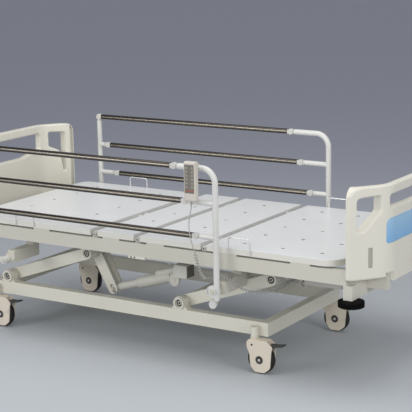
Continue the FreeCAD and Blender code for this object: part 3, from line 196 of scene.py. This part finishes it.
finish = {
    "ivory": shade(219, 216, 203), "ivoryDirt": shade(208, 203, 188),
    "white": shade(229, 229, 228), "whiteDirt": shade(219, 219, 217),
    "board": shade(219, 216, 203), "boardDirt": shade(211, 206, 191),
    "post": shade(203, 202, 196), "cream": shade(222, 212, 196), "creamDirt": shade(206, 194, 176),
    "blue": shade(112, 168, 214), "bluePale": shade(160, 196, 222),
    "tyre": (0.012, 0.011, 0.012), "tyreDust": (0.05, 0.047, 0.043),
    "bumper": (0.005, 0.0045, 0.0045),
    "dark": (0.035, 0.035, 0.038), "darkDust": (0.075, 0.073, 0.07),
}

ivoryPaint = powderCoat("ivoryPowderCoat", finish["ivory"], finish["ivoryDirt"], 0.34)
framePaint = powderCoat("framePowderCoat", shade(202, 199, 187), shade(193, 189, 175), 0.38, 360)
postPaint = powderCoat("railPostPaint", finish["post"], finish["whiteDirt"], 0.28)
creamPlastic = moulding("castorHoodPlastic", finish["cream"], finish["creamDirt"], 0.42)
darkPlastic = moulding("darkPlastic", finish["dark"], finish["darkDust"], 0.42)
casePlastic = moulding("handsetCase", shade(204, 198, 188), shade(188, 182, 172), 0.4)
keyPlastic = moulding("handsetKey", shade(150, 144, 134), shade(136, 131, 122), 0.4)
housingPlastic = moulding("actuatorCase", shade(206, 204, 194), shade(188, 186, 176), 0.45)
motorPlastic = moulding("controlCase", shade(196, 194, 186), shade(180, 178, 170), 0.45)
boltSteel = moulding("boltSteel", shade(92, 92, 92), shade(60, 60, 60), 0.35, 300)
boltSteel.shader.inputs["Metallic"].default_value = 0.8
pinZinc = moulding("hingePinZinc", shade(196, 195, 188), shade(170, 168, 160), 0.4, 300)
tyreRubber = rubber("castorTyre", finish["tyre"], finish["tyreDust"])
bumperRubber = rubber("bumperRubber", finish["bumper"], finish["bumper"])
bumperRubber.shader.inputs["Specular IOR Level"].default_value = 0.05
cordSkin = rubber("cordSkin", shade(168, 168, 162), shade(150, 150, 144))
wireSteel = polishedWire("retainerWire", (0.78, 0.78, 0.77))
wireSteel.shader.inputs["Metallic"].default_value = 0.6
rodPaint = powderCoat("actuatorTubePaint", shade(208, 206, 198), shade(194, 191, 182), 0.4)


# the shadow, lip and flange colours are painted shade: at both sides of each gap, on the top edges beside
# the gaps and on the flanges below the top
deckGaps = {"places": [(-0.224, 0.0181), (0.007, 0.0141), (0.351, 0.0141)], "below": 0.5578,
            "tone": shade(232, 231, 229), "shadow": shade(196, 195, 192), "flangeShade": shade(216, 214, 204),
            "edge": 0.0045, "shadedLip": 0.0045, "shadedLipTone": shade(184, 183, 180)}


def deckCoatWithPaintedShade():
    # white coat with painted shade on the deck's top edges beside each gap and on the flanges below the top,
    # and the hinge tubes in the gaps in their own pale tone with painted shade at both sides
    look = Look("deckPowderCoatWithShade", Coat_Weight=0.12, Coat_Roughness=0.25, Specular_IOR_Level=0.4)
    cloud = look.noise(5.5, 4)
    fine = look.noise(500, 2)
    along, _, up = look.axes()
    inside, edge, shadedLip = 0, 0, 0
    for middle, half in deckGaps["places"]:
        away = abs(along - middle)
        inside = (away < half) + inside
        edge = (away < half) * (away > half - deckGaps["edge"]) + edge
        shadedLip = (away < half + deckGaps["shadedLip"]) + shadedLip
    inside = inside * (up < deckGaps["below"])
    tube = look.mix(edge, deckGaps["tone"], deckGaps["shadow"])
    paintAndShade = look.mix(cloud * 0.9 - 0.15, finish["white"], finish["whiteDirt"])
    # painted shade on the deck's top edges beside each gap
    paintAndShade = look.mix(shadedLip, paintAndShade, deckGaps["shadedLipTone"])
    # painted shade: the flanges below the top in a warmer, darker tone than the top
    paintAndShade = look.mix(up < deckGaps["below"], paintAndShade, deckGaps["flangeShade"])
    look.surface("Base Color", look.mix(inside, paintAndShade, tube))
    look.surface("Roughness", 0.3 + 0.14 * cloud - 0.06 * fine)
    look.bump(fine, 0.0006, 0.16)
    return look


# the slots' tone is painted shade in the recessed upright slots of the boards' outer faces
boardSlotShade = {
    "from": 0.3775, "to": 0.3925, "low": 0.5345, "high": 0.6175, "outside": 1.085,
    "tone": shade(168, 166, 152),
}


def boardMouldingWithSlotShade():
    # ivory moulding with painted shade in the upright slots of its outer face
    look = Look("boardMouldingSlotShade", Specular_IOR_Level=0.42)
    cloud = look.noise(7, 4)
    fine = look.noise(900, 3)
    along, across, up = look.axes()
    side = abs(across)
    slot = (side > boardSlotShade["from"]) * (side < boardSlotShade["to"]) * (up > boardSlotShade["low"])
    slot = slot * (up < boardSlotShade["high"]) * (abs(along) > boardSlotShade["outside"])
    skin = look.mix(cloud * 0.8 - 0.1, finish["board"], finish["boardDirt"])
    # painted shade in the slots
    look.surface("Base Color", look.mix(slot, skin, boardSlotShade["tone"]))
    look.surface("Roughness", 0.38 + 0.12 * cloud)
    look.bump(fine, 0.0004, 0.22)
    return look


inlayFade = {"low": 0.62, "high": 0.715}


def inlayFinish():
    # blue panel, paler towards its top
    look = Look("blueInlay", Coat_Weight=0.4, Coat_Roughness=0.12)
    up = look.axes()[2]
    fade = look.node("ShaderNodeMapRange", {},
                     {"Value": up, "From Min": inlayFade["low"], "From Max": inlayFade["high"]})
    cloud = look.noise(3, 2)
    look.surface("Base Color", look.mix(fade * 0.7 + cloud * 0.2, finish["blue"], finish["bluePale"]))
    look.surface("Roughness", 0.2 + 0.1 * cloud)
    return look


def barWithPaintedReflections(name, middle, half, height, radius):
    # polished tube between two painted knuckles, with painted reflections in dark and light bands by height
    # along the tube
    look = Look(name)
    along, _, up = look.axes()
    knuckle = abs(along - middle) > half
    lines = look.noise(260, 3, (0.02, 1, 1))
    cloud = look.noise(9, 3)
    level = look.node("ShaderNodeMapRange", {},
                      {"Value": up, "From Min": height - radius, "From Max": height + radius})
    reflectionBands = look.node("ShaderNodeValToRGB", {"stops": paintedReflectionBands}, {0: level + 0.06 * lines - 0.03})
    look.surface("Base Color", look.mix(knuckle, reflectionBands, finish["post"]))
    look.surface("Metallic", 1 - knuckle)
    look.surface("Roughness", 0.2 + 0.07 * lines + 0.04 * cloud + 0.16 * knuckle)
    look.bump(lines, 0.0002, 0.06)
    return look


# painted reflections on the polished bars: dark and light bands by height
paintedReflectionBands = [(0.0, (0.05, 0.045, 0.04)), (0.34, (0.09, 0.08, 0.065)), (0.45, (0.26, 0.24, 0.20)),
            (0.54, (0.36, 0.33, 0.28)), (0.62, (0.13, 0.115, 0.09)), (0.90, (0.08, 0.07, 0.06)),
            (1.0, (0.24, 0.22, 0.18))]
railBars = {"knuckle": 0.03, "radius": 0.0125}


def keypadFinish():
    look = Look("keypadMembrane", Coat_Weight=0.3, Coat_Roughness=0.2)
    cloud = look.noise(60, 3)
    look.surface("Base Color", look.mix(cloud, shade(104, 100, 92), shade(122, 117, 107)))
    look.surface("Roughness", 0.35 + 0.15 * cloud)
    return look


deckPaintAndShade = deckCoatWithPaintedShade()
boardPlasticSlotShade = boardMouldingWithSlotShade()
blueInlay = inlayFinish()
keypadSkin = keypadFinish()

nodeFinish = {
    "base_frame": ivoryPaint, "lift_bearing_blocks": ivoryPaint, "head_lift_arms": ivoryPaint,
    "foot_lift_arms": ivoryPaint, "upper_frame": framePaint, "side_rail_brackets": framePaint,
    "back_section": deckPaintAndShade, "seat_section": deckPaintAndShade, "thigh_section": deckPaintAndShade,
    "leg_section": deckPaintAndShade, "deck_hinge_pins": pinZinc, "knee_hinge_pins": pinZinc,
    "back_retainers": wireSteel, "leg_retainers": wireSteel, "headboard": boardPlasticSlotShade,
    "footboard": boardPlasticSlotShade, "footboard_inlay": blueInlay, "handset_body": casePlastic,
    "handset_keypad": keypadSkin, "handset_lead": cordSkin, "handset_curly_cord": cordSkin,
    "control_box": motorPlastic,
}
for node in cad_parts:
    if node.startswith("castor_housing"):
        nodeFinish[node] = creamPlastic
    elif node.startswith("castor_wheel"):
        nodeFinish[node] = tyreRubber
    elif node.startswith("castor_pedal"):
        nodeFinish[node] = darkPlastic
    elif node.startswith("corner_bumper"):
        nodeFinish[node] = bumperRubber
    elif node.endswith(("_post", "_knob")):
        nodeFinish[node] = postPaint
    elif node.endswith("_housing"):
        nodeFinish[node] = housingPlastic
    elif node.endswith("_rod"):
        nodeFinish[node] = rodPaint
    elif node.endswith("_bar"):
        low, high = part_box(node)
        nodeFinish[node] = barWithPaintedReflections(node + "Finish", (low[0] + high[0]) / 2,
                                     (high[0] - low[0]) / 2 - railBars["knuckle"],
                                     (low[2] + high[2]) / 2, railBars["radius"])
for name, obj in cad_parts.items():
    obj.data.materials.clear()
    obj.data.materials.append(nodeFinish[name].material)
    obj.data.polygons.foreach_set("use_smooth", [True] * len(obj.data.polygons))
    obj.data.set_sharp_from_angle(angle=math.radians(32))
print("finishes on the CAD nodes:", len(nodeFinish))


camera = {
    "place": (3.4525, -5.2828, 1.9463), "yaw": 32.5327, "pitch": 12.0073, "roll": -1.029, "lens": 122.43,
}


def setCamera(spec):
    yaw, pitch, roll = (math.radians(spec[key]) for key in ("yaw", "pitch", "roll"))
    ahead = Vector((-math.sin(yaw) * math.cos(pitch), math.cos(yaw) * math.cos(pitch),
                    -math.sin(pitch)))
    right = Vector((math.cos(yaw), math.sin(yaw), 0))
    up = right.cross(ahead)
    side = right * math.cos(roll) + up * math.sin(roll)
    top = up * math.cos(roll) - right * math.sin(roll)
    data = bpy.data.cameras.new("studioCamera")
    data.lens = spec["lens"]
    data.clip_end = 100
    made = bpy.data.objects.new("studioCamera", data)
    bpy.context.scene.collection.objects.link(made)
    turned = Matrix((side, top, -ahead)).transposed().to_4x4()
    made.matrix_world = Matrix.Translation(Vector(spec["place"])) @ turned
    bpy.context.scene.camera = made


setCamera(camera)


def addMesh(name, build, look, smooth=38):
    # build fills a bmesh; the object takes one finish
    mesh = bpy.data.meshes.new(name)
    shape = bmesh.new()
    build(shape)
    bmesh.ops.recalc_face_normals(shape, faces=shape.faces)
    shape.to_mesh(mesh)
    shape.free()
    mesh.materials.append(look.material)
    mesh.polygons.foreach_set("use_smooth", [True] * len(mesh.polygons))
    mesh.set_sharp_from_angle(angle=math.radians(smooth))
    made = bpy.data.objects.new(name, mesh)
    bpy.context.scene.collection.objects.link(made)
    return made


def lathe(shape, centre, axis, profile, steps=40):
    # profile is (radius, distance along the axis) pairs, turned once round
    axis = Vector(axis).normalized()
    across = axis.orthogonal().normalized()
    third = axis.cross(across)
    rings = []
    for radius, along in profile:
        ring = []
        for step in range(steps):
            angle = 2 * math.pi * step / steps
            out = across * math.cos(angle) + third * math.sin(angle)
            ring.append(shape.verts.new(Vector(centre) + axis * along + out * radius))
        rings.append(ring)
    for low, high in zip(rings, rings[1:]):
        for step in range(steps):
            follow = (step + 1) % steps
            shape.faces.new((low[step], low[follow], high[follow], high[step]))
    for ring in (rings[0], rings[-1]):
        if (ring[0].co - ring[1].co).length > 1e-5:
            shape.faces.new(ring)


def softBox(shape, low, high, soft, steps=3):
    made = bmesh.ops.create_cube(shape, size=1)["verts"]
    low, high = Vector(low), Vector(high)
    for vert in made:
        vert.co = (low + high) / 2 + Vector([c * d for c, d in zip(vert.co, high - low)])
    edges = list({edge for vert in made for edge in vert.link_edges})
    bmesh.ops.bevel(shape, geom=edges, offset=soft, segments=steps, profile=0.5, affect="EDGES")


def tubeAlong(shape, spots, radius, sides=8):
    # a round tube through points, its section carried along without twist
    spots = [Vector(spot) for spot in spots]
    out = (spots[1] - spots[0]).orthogonal().normalized()
    rings = []
    for i, spot in enumerate(spots):
        ahead = (spots[min(i + 1, len(spots) - 1)] - spots[max(i - 1, 0)]).normalized()
        out = (out - ahead * out.dot(ahead)).normalized()
        third = ahead.cross(out)
        ring = []
        for step in range(sides):
            angle = 2 * math.pi * step / sides
            away = out * math.cos(angle) + third * math.sin(angle)
            ring.append(shape.verts.new(spot + away * radius))
        rings.append(ring)
    for low, high in zip(rings, rings[1:]):
        for step in range(sides):
            follow = (step + 1) % sides
            shape.faces.new((low[step], low[follow], high[follow], high[step]))
    shape.faces.new(rings[0])
    shape.faces.new(rings[-1])


def smoothLine(spots):
    # points along one NURBS line whose control points are given
    data = bpy.data.curves.new("routeLine", "CURVE")
    data.dimensions = "3D"
    data.resolution_u = 12
    spline = data.splines.new("NURBS")
    spline.points.add(len(spots) - 1)
    for point, spot in zip(spline.points, spots):
        point.co = (*spot, 1)
    spline.order_u = 3
    spline.use_endpoint_u = True
    made = bpy.data.objects.new("routeLine", data)
    bpy.context.scene.collection.objects.link(made)
    bpy.context.view_layer.update()
    mesh = bpy.data.meshes.new_from_object(made)
    line = [vert.co.copy() for vert in mesh.vertices]
    bpy.data.objects.remove(made)
    bpy.data.meshes.remove(mesh)
    return line


handsetCord = {
    "lead": [(0.357, -0.541, 0.764), (0.357, -0.541, 0.736), (0.346, -0.540, 0.700), (0.339, -0.538, 0.662),
             (0.340, -0.536, 0.624), (0.348, -0.534, 0.586), (0.359, -0.532, 0.552)],
    "curly": [(0.367, -0.531, 0.522), (0.376, -0.530, 0.490), (0.385, -0.529, 0.464), (0.391, -0.524, 0.442),
              (0.398, -0.505, 0.426), (0.414, -0.482, 0.428), (0.440, -0.468, 0.436), (0.482, -0.457, 0.431),
              (0.508, -0.450, 0.406), (0.544, -0.434, 0.380), (0.584, -0.402, 0.368), (0.620, -0.350, 0.366),
              (0.638, -0.290, 0.372), (0.646, -0.236, 0.382), (0.650, -0.190, 0.390), (0.660, -0.152, 0.397),
              (0.685, -0.150, 0.398)],
    "diameter": 0.0042, "curlRadius": 0.0057, "pitch": 0.0115, "pointsPerTurn": 16, "ease": 0.02,
}


def makeHandsetCord(spec):
    # the straight lead, then a helix along the rest of the route that opens and closes smoothly
    line = smoothLine(spec["lead"] + spec["curly"])
    runs = [0]
    for before, after in zip(line, line[1:]):
        runs.append(runs[-1] + (after - before).length)
    leadEnd = min(range(len(line)), key=lambda i: (line[i] - Vector(spec["lead"][-1])).length)

    def at(distance):
        for i in range(len(line) - 1):
            if runs[i + 1] >= distance:
                part = (distance - runs[i]) / (runs[i + 1] - runs[i])
                return line[i].lerp(line[i + 1], part), (line[i + 1] - line[i]).normalized()
        return line[-1], (line[-1] - line[-2]).normalized()

    start, finishAt = runs[leadEnd], runs[-1]
    route = line[:leadEnd]
    turns = (finishAt - start) / spec["pitch"]
    count = int(turns * spec["pointsPerTurn"])
    out = Vector((0, 1, 0))
    for step in range(count + 1):
        distance = start + (finishAt - start) * step / count
        spot, ahead = at(distance)
        out = (out - ahead * out.dot(ahead)).normalized()
        third = ahead.cross(out)
        angle = 2 * math.pi * step / spec["pointsPerTurn"]
        grow = min(1, (distance - start) / spec["ease"], (finishAt - distance) / spec["ease"])
        size = spec["curlRadius"] * grow * grow * (3 - 2 * grow)
        route.append(spot + (out * math.cos(angle) + third * math.sin(angle)) * size)
    length = sum((after - before).length for before, after in zip(route, route[1:]))
    made = addMesh("handsetCord", lambda shape: tubeAlong(shape, route, spec["diameter"] / 2),
                   cordSkin, 60)
    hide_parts("handset_lead", "handset_curly_cord")
    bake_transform(made)
    print("handset cord length", round(length, 3))


makeHandsetCord(handsetCord)

strainRelief = {"top": (0.357, -0.541, 0.765), "length": 0.022, "radii": (0.0062, 0.0034)}


def makeStrainRelief(spec):
    def build(shape):
        rings = []
        count = 7
        for i in range(count):
            part = i / (count - 1)
            radius = spec["radii"][0] + (spec["radii"][1] - spec["radii"][0]) * part
            rings.append((radius, part * spec["length"] - 0.0006))
            rings.append((radius * 0.86, part * spec["length"] + 0.0008))
        lathe(shape, spec["top"], (-0.1, 0, -1), rings, 20)
    made = addMesh("cordStrainRelief", build, cordSkin)
    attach(made, "rail_near_foot_post")


makeStrainRelief(strainRelief)


castorTrim = {
    "hubs": {"head_near": (-0.858, -0.35), "head_far": (-0.858, 0.35), "foot_near": (0.574, -0.35),
             "foot_far": (0.574, 0.35)},
    "axle": 0.0625, "cheek": 0.022, "ringOuter": 0.0178, "ringInner": 0.006, "boltAt": (-0.036, 0.063),
}


def makeCastorTrim(spec):
    # on each cheek of a castor: a dark hub ring, the axle's cap and a small bolt
    for corner, (x, y) in spec["hubs"].items():
        def caps(shape):
            for side in (-1, 1):
                start = side * spec["cheek"]
                outer, inner = spec["ringOuter"], spec["ringInner"]
                lathe(shape, (x, y + start, spec["axle"]), (0, side, 0),
                      [(outer, -0.0006), (outer, 0.0012), (outer - 0.0014, 0.0026), (inner + 0.0012, 0.0026),
                       (inner, 0.0018), (inner, -0.0006)])
                bolt = (x + spec["boltAt"][0], y + start, spec["axle"] + spec["boltAt"][1])
                lathe(shape, bolt, (0, side, 0),
                      [(0.0046, -0.0005), (0.0046, 0.0009), (0.0036, 0.0021), (0.0016, 0.0022),
                       (0.0012, 0.0012), (0.0002, 0.0012)], 16)
        ring = addMesh("castorHubRings_" + corner, caps, darkPlastic)

        def centres(shape):
            for side in (-1, 1):
                lathe(shape, (x, y + side * (spec["cheek"] + 0.0016), spec["axle"]), (0, side, 0),
                      [(0.0056, 0), (0.0056, 0.0006), (0.0048, 0.0014), (0.0002, 0.0016)], 24)
        centre = addMesh("castorAxleCaps_" + corner, centres, casePlastic)
        for piece in (ring, centre):
            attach(piece, "castor_" + corner)


makeCastorTrim(castorTrim)
print("castor trim made")


handsetKeys = {
    "middle": 0.357, "low": 0.800, "firstRow": 0.008, "rows": 7, "rowStep": 0.0158,
    "columns": (-0.0135, 0.0, 0.0135), "keyHalf": 0.0052, "lampHalf": 0.004, "out": 0.0011,
    "in": 0.0005, "soft": 0.0005,
}


def makeHandsetKeys(spec):
    # a row of lamp keys below six rows of key pairs
    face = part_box("handset_keypad")[0][1]

    def key(shape, x, z, half):
        softBox(shape, (x - half, face - spec["out"], z - half), (x + half, face + spec["in"], z + half),
                spec["soft"], 2)

    def keys(shape):
        for row in range(1, spec["rows"]):
            z = spec["low"] + spec["firstRow"] + row * spec["rowStep"]
            for column in (spec["columns"][0], spec["columns"][2]):
                key(shape, spec["middle"] + column, z, spec["keyHalf"])
    made = addMesh("handsetKeys", keys, keyPlastic)
    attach(made, "rail_near_foot_post")

    def lamps(shape):
        z = spec["low"] + spec["firstRow"]
        for column in spec["columns"]:
            key(shape, spec["middle"] + column, z, spec["lampHalf"])
    lampLook = moulding("lampKey", shade(170, 88, 72), shade(150, 74, 62), 0.4)
    lamp = addMesh("handsetLampKeys", lamps, lampLook)
    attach(lamp, "rail_near_foot_post")


makeHandsetKeys(handsetKeys)


boardEdges = {
    "round": 0.0085, "steps": 5, "bottom": 0.4655, "endFace": 1.032, "turn": 0.8, "flat": 0.55, "rim": 0.3,
    "slot": ((0.376, 0.394), (0.533, 0.619)), "panel": (0.327, (0.624, 0.730)),
}


def settleNormals(mesh, smooth=40):
    # a corner takes the mean of the faces around its point, the large ones counting most, up to a crease
    near = [[] for _ in mesh.vertices]
    for face in mesh.polygons:
        for point in face.vertices:
            near[point].append(face)
    limit = math.cos(math.radians(smooth))
    corners = []
    for face in mesh.polygons:
        for point in face.vertices:
            total = Vector()
            for other in near[point]:
                if other.normal.dot(face.normal) > limit:
                    total += other.normal * other.area
            corners.append(total.normalized())
    mesh.normals_split_custom_set(corners)


def roundedBoard(node, spec):
    # the board with the long edges of its outline and windows rounded over; the edges of its
    # slots and of the footboard's panel stay sharp
    (slotFrom, slotTo), (slotLow, slotHigh) = spec["slot"]
    panelSide, (panelLow, panelHigh) = spec["panel"]
    shape = bmesh.new()
    shape.from_mesh(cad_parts[node].data)
    bmesh.ops.remove_doubles(shape, verts=shape.verts, dist=1e-6)
    bmesh.ops.dissolve_limit(shape, angle_limit=0.004, verts=shape.verts, edges=shape.edges)
    shape.normal_update()
    picked = []
    for edge in shape.edges:
        if len(edge.link_faces) != 2 or not edge.is_convex:
            continue
        flat, rim = sorted((abs(face.normal.x) for face in edge.link_faces), reverse=True)
        middle = (edge.verts[0].co + edge.verts[1].co) / 2
        slot = slotFrom < abs(middle.y) < slotTo and slotLow < middle.z < slotHigh
        panel = node == "footboard" and abs(middle.y) < panelSide and panelLow < middle.z < panelHigh
        wanted = middle.z > spec["bottom"] and abs(middle.x) > spec["endFace"] and not slot and not panel
        cornered = flat > spec["flat"] and rim < spec["rim"] and edge.calc_face_angle(0) > spec["turn"]
        if wanted and cornered:
            picked.append(edge)
    bmesh.ops.bevel(shape, geom=picked, offset=spec["round"], segments=spec["steps"], profile=0.5,
                    affect="EDGES", clamp_overlap=False, loop_slide=False)
    mesh = bpy.data.meshes.new(node + "Rounded")
    shape.to_mesh(mesh)
    shape.free()
    mesh.materials.append(boardPlasticSlotShade.material)
    mesh.polygons.foreach_set("use_smooth", [True] * len(mesh.polygons))
    settleNormals(mesh)
    made = bpy.data.objects.new(node + "Rounded", mesh)
    bpy.context.scene.collection.objects.link(made)
    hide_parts(node)
    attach(made, node)


for board in ("headboard", "footboard"):
    roundedBoard(board, boardEdges)


tubeCaps = {
    "recess": 0.0028, "radius": 0.0187, "bolt": 0.0058,
    "ends": [("head_arms", -0.8335, 0.245, 0.333), ("foot_arms", 0.1455, 0.245, 0.333),
             ("head_arms", -0.393574, 0.395621, 0.288), ("foot_arms", 0.585426, 0.395621, 0.288)],
}


def makeTubeCaps(spec):
    # a pressed disc with a bolt head closes each end of the lift's cross tubes
    radius, bolt = spec["radius"], spec["bolt"]
    for index, (body, x, z, reach) in enumerate(spec["ends"]):
        face = reach - spec["recess"]

        def discs(shape):
            for side in (-1, 1):
                lathe(shape, (x, side * face, z), (0, side, 0),
                      [(radius, -0.002), (radius, 0), (radius - 0.002, 0.0002), (radius - 0.003, -0.0016),
                       (0.0095, -0.0016), (0.0088, 0.0004), (0.0002, 0.0004)], 28)

        def rings(shape):
            for side in (-1, 1):
                lathe(shape, (x, side * face, z), (0, side, 0),
                      [(radius - 0.0028, -0.0017), (radius - 0.0028, -0.0009), (0.0094, -0.0009),
                       (0.0094, -0.0017)], 28)

        def bolts(shape):
            for side in (-1, 1):
                lathe(shape, (x, side * (face + 0.0004), z), (0, side, 0),
                      [(bolt, 0), (bolt, 0.002), (bolt - 0.001, 0.0027), (0.0002, 0.0027)], 6)
        disc = addMesh(f"tubeEndDiscs_{index}", discs, ivoryPaint)
        ring = addMesh(f"tubeEndRings_{index}", rings, darkPlastic)
        head = addMesh(f"tubeEndBolts_{index}", bolts, boltSteel, 20)
        for piece in (disc, ring, head):
            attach(piece, body)


makeTubeCaps(tubeCaps)


pinScrews = {
    "radius": 0.0038, "height": 0.54,
    "pins": (("deck_hinge_pins", "upper_frame", (-0.224, 0.007)), ("knee_hinge_pins", "thigh", (0.351,))),
}


def makePinScrews(spec):
    # a dark disc on each hinge bolt's head: painted shade standing for its socket
    for node, body, places in spec["pins"]:
        low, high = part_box(node)

        def sockets(shape):
            for x in places:
                for side, y in ((-1, low[1]), (1, high[1])):
                    lathe(shape, (x, y, spec["height"]), (0, side, 0),
                          [(spec["radius"], -0.0008), (spec["radius"], 0.0002), (0.0002, 0.0002)], 16)
        # the dark discs are painted shade in the bolt heads' sockets
        made = addMesh("pinSockets_" + body, sockets, darkPlastic)
        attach(made, body)


makePinScrews(pinScrews)


hubMarks = {
    "middle": (0.434, 0.379), "face": 0.5171, "radius": 0.0215, "wire": 0.0009, "halfTurn": 34,
}


def makeHubMarks(spec):
    # two thin dark arcs either side of the bolt in the foot post's hub: painted shade in its slots
    middleX, middleZ = spec["middle"]
    for side, sign in (("near", -1), ("far", 1)):
        def slotShadeArcs(shape):
            for turn in (0, 180):
                line = []
                for step in range(9):
                    angle = math.radians(turn + (step / 4 - 1) * spec["halfTurn"])
                    line.append((middleX + spec["radius"] * math.cos(angle), sign * spec["face"],
                                 middleZ + spec["radius"] * math.sin(angle)))
                tubeAlong(shape, line, spec["wire"], 8)
        # the dark arcs are painted shade in the hub's slots
        made = addMesh("hubSlots_" + side, slotShadeArcs, darkPlastic)
        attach(made, f"rail_{side}_foot_post")


makeHubMarks(hubMarks)


liftMotor = {
    "box": ((0.090, -0.288, 0.343), (0.158, -0.2225, 0.404)), "soft": 0.005, "sideShadeEdge": 0.004,
    "gear": ((0.050, 0.312), 0.0285, -0.2200, 0.0085), "neck": ((0.046, 0.314), 0.018, -0.210),
}


def makeLiftMotor(spec):
    # the gear case and the motor box on the near lift actuator, with a dark sheet on the box's foot-end face
    # as painted shade
    (gearX, gearZ), radius, face, thick = spec["gear"]
    (neckX, neckZ), neckRadius, neckFrom = spec["neck"]
    low, high = spec["box"]
    edge = spec["sideShadeEdge"]

    def case(shape):
        lathe(shape, (gearX, face, gearZ), (0, -1, 0),
              [(radius - 0.001, 0), (radius, 0.001), (radius, thick - 0.001), (radius - 0.002, thick),
               (radius - 0.005, thick), (radius - 0.006, thick - 0.0015), (0.009, thick - 0.0015),
               (0.008, thick + 0.001), (0.0002, thick + 0.001)], 36)
        lathe(shape, (neckX, neckFrom, neckZ), (0, -1, 0),
              [(neckRadius, 0), (neckRadius, face * -1 + neckFrom + 0.001)], 24)
        softBox(shape, (gearX - 0.006, face - thick + 0.001, gearZ + 0.012),
                (low[0] + 0.02, face - 0.001, low[2] + 0.03), 0.001)
        softBox(shape, low, high, spec["soft"])
    made = addMesh("liftMotorCase", case, housingPlastic)

    # a dark sheet over the box's foot-end face: painted shade
    def sideShadeShape(shape):
        softBox(shape, (high[0] - 0.002, low[1] + edge, low[2] + edge),
                (high[0] + 0.0015, high[1] - edge, high[2] - edge), 0.001)
    sideShadeSheet = addMesh("liftMotorSideShade", sideShadeShape, sideShadePlastic)
    for piece in (made, sideShadeSheet):
        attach(piece, "head_lift_actuator_housing")


# the dark colour of the sheet on the motor box's foot-end face is painted shade
sideShadePlastic = moulding("motorSideShade", shade(112, 109, 96), shade(98, 95, 84), 0.5)
makeLiftMotor(liftMotor)


cableClip = {
    "block": ((-0.040, -0.4495, 0.4540), (0.048, -0.4300, 0.4662)),
    "bolts": ((-0.024, 0.460), (-0.006, 0.460)), "boltRadius": 0.0042,
    "rod": [(0.044, -0.440, 0.4600), (0.10, -0.440, 0.4605), (0.150, -0.440, 0.4608),
            (0.160, -0.436, 0.457), (0.158, -0.415, 0.440)], "wire": 0.0016,
}


def makeCableClip(spec):
    # a small clip under the near side tube, with two bolts and a bent release rod
    def clip(shape):
        softBox(shape, *spec["block"], 0.002)
        tubeAlong(shape, spec["rod"], spec["wire"], 8)

    def bolts(shape):
        for x, z in spec["bolts"]:
            lathe(shape, (x, spec["block"][0][1], z), (0, -1, 0),
                  [(spec["boltRadius"], -0.001), (spec["boltRadius"], 0.0003), (0.0002, 0.0003)], 12)
    made = addMesh("cableClip", clip, ivoryPaint)
    dots = addMesh("cableClipBolts", bolts, darkPlastic)
    for piece in (made, dots):
        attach(piece, "upper_frame")


makeCableClip(cableClip)
print("small fittings made")


studio = {
    "near": shade(186, 190, 194), "far": shade(180, 182, 193), "fadeFrom": 1.2, "fadeTo": 4.5,
    "backdrop": shade(136, 139, 151), "ambient": 0.42, "skyTint": (0.93, 0.96, 1.0, 1), "floorRadius": 40,
    "lamps": [("overheadSoftbox", (0.2, -0.6, 3.4), (0.1, 0.1, 0.3), (4.2, 2.4), 62),
              ("leftSoftbox", (-2.6, -4.6, 2.0), (0.2, 0, 0.4), (2.6, 2.0), 78),
              ("frontSoftbox", (2.2, -5.4, 2.2), (0.2, 0, 0.4), (2.4, 1.8), 62),
              ("rightFill", (4.8, -1.4, 2.0), (0.6, 0, 0.5), (2.0, 1.6), 60)],
}


def makeStudio(spec):
    # a wide floor that fades with distance, a plain backdrop seen by the camera, and four soft lamps
    def build(shape):
        bmesh.ops.create_circle(shape, cap_ends=True, radius=spec["floorRadius"], segments=96)
    floorLook = Look("studioFloor", Roughness=0.75, Specular_IOR_Level=0.2)
    away = floorLook.node("ShaderNodeVectorMath", {"operation": "LENGTH"},
                          {0: floorLook.node("ShaderNodeTexCoord", {}, {}, 3)}, 1)
    fade = floorLook.node("ShaderNodeMapRange", {"interpolation_type": "SMOOTHSTEP"},
                          {"Value": away, "From Min": spec["fadeFrom"], "From Max": spec["fadeTo"]})
    floorLook.surface("Base Color", floorLook.mix(fade, spec["near"], spec["far"]))
    floor = addMesh("studioFloor", build, floorLook)
    world = bpy.data.worlds.new("studioWorld")
    bpy.context.scene.world = world
    world.use_nodes = True
    tree = world.node_tree
    light = tree.nodes["Background"]
    light.inputs["Color"].default_value = spec["skyTint"]
    light.inputs["Strength"].default_value = spec["ambient"]
    seen = tree.nodes.new("ShaderNodeBackground")
    seen.inputs["Color"].default_value = (*spec["backdrop"], 1)
    seen.inputs["Strength"].default_value = 1
    rays = tree.nodes.new("ShaderNodeLightPath")
    either = tree.nodes.new("ShaderNodeMath")
    either.operation = "MAXIMUM"
    tree.links.new(rays.outputs["Is Camera Ray"], either.inputs[0])
    tree.links.new(rays.outputs["Is Glossy Ray"], either.inputs[1])
    choose = tree.nodes.new("ShaderNodeMixShader")
    tree.links.new(either.outputs[0], choose.inputs[0])
    tree.links.new(light.outputs[0], choose.inputs[1])
    tree.links.new(seen.outputs[0], choose.inputs[2])
    tree.links.new(choose.outputs[0], tree.nodes["World Output"].inputs["Surface"])
    for name, place, target, size, power in spec["lamps"]:
        data = bpy.data.lights.new(name, "AREA")
        data.shape = "RECTANGLE"
        data.size, data.size_y = size
        data.energy = power
        lamp = bpy.data.objects.new(name, data)
        bpy.context.scene.collection.objects.link(lamp)
        lamp.location = place
        lamp.rotation_mode = "QUATERNION"
        lamp.rotation_quaternion = (Vector(target) - Vector(place)).to_track_quat("-Z", "Y")
    bpy.context.scene.view_settings.view_transform = "Standard"


makeStudio(studio)
print("studio lit")
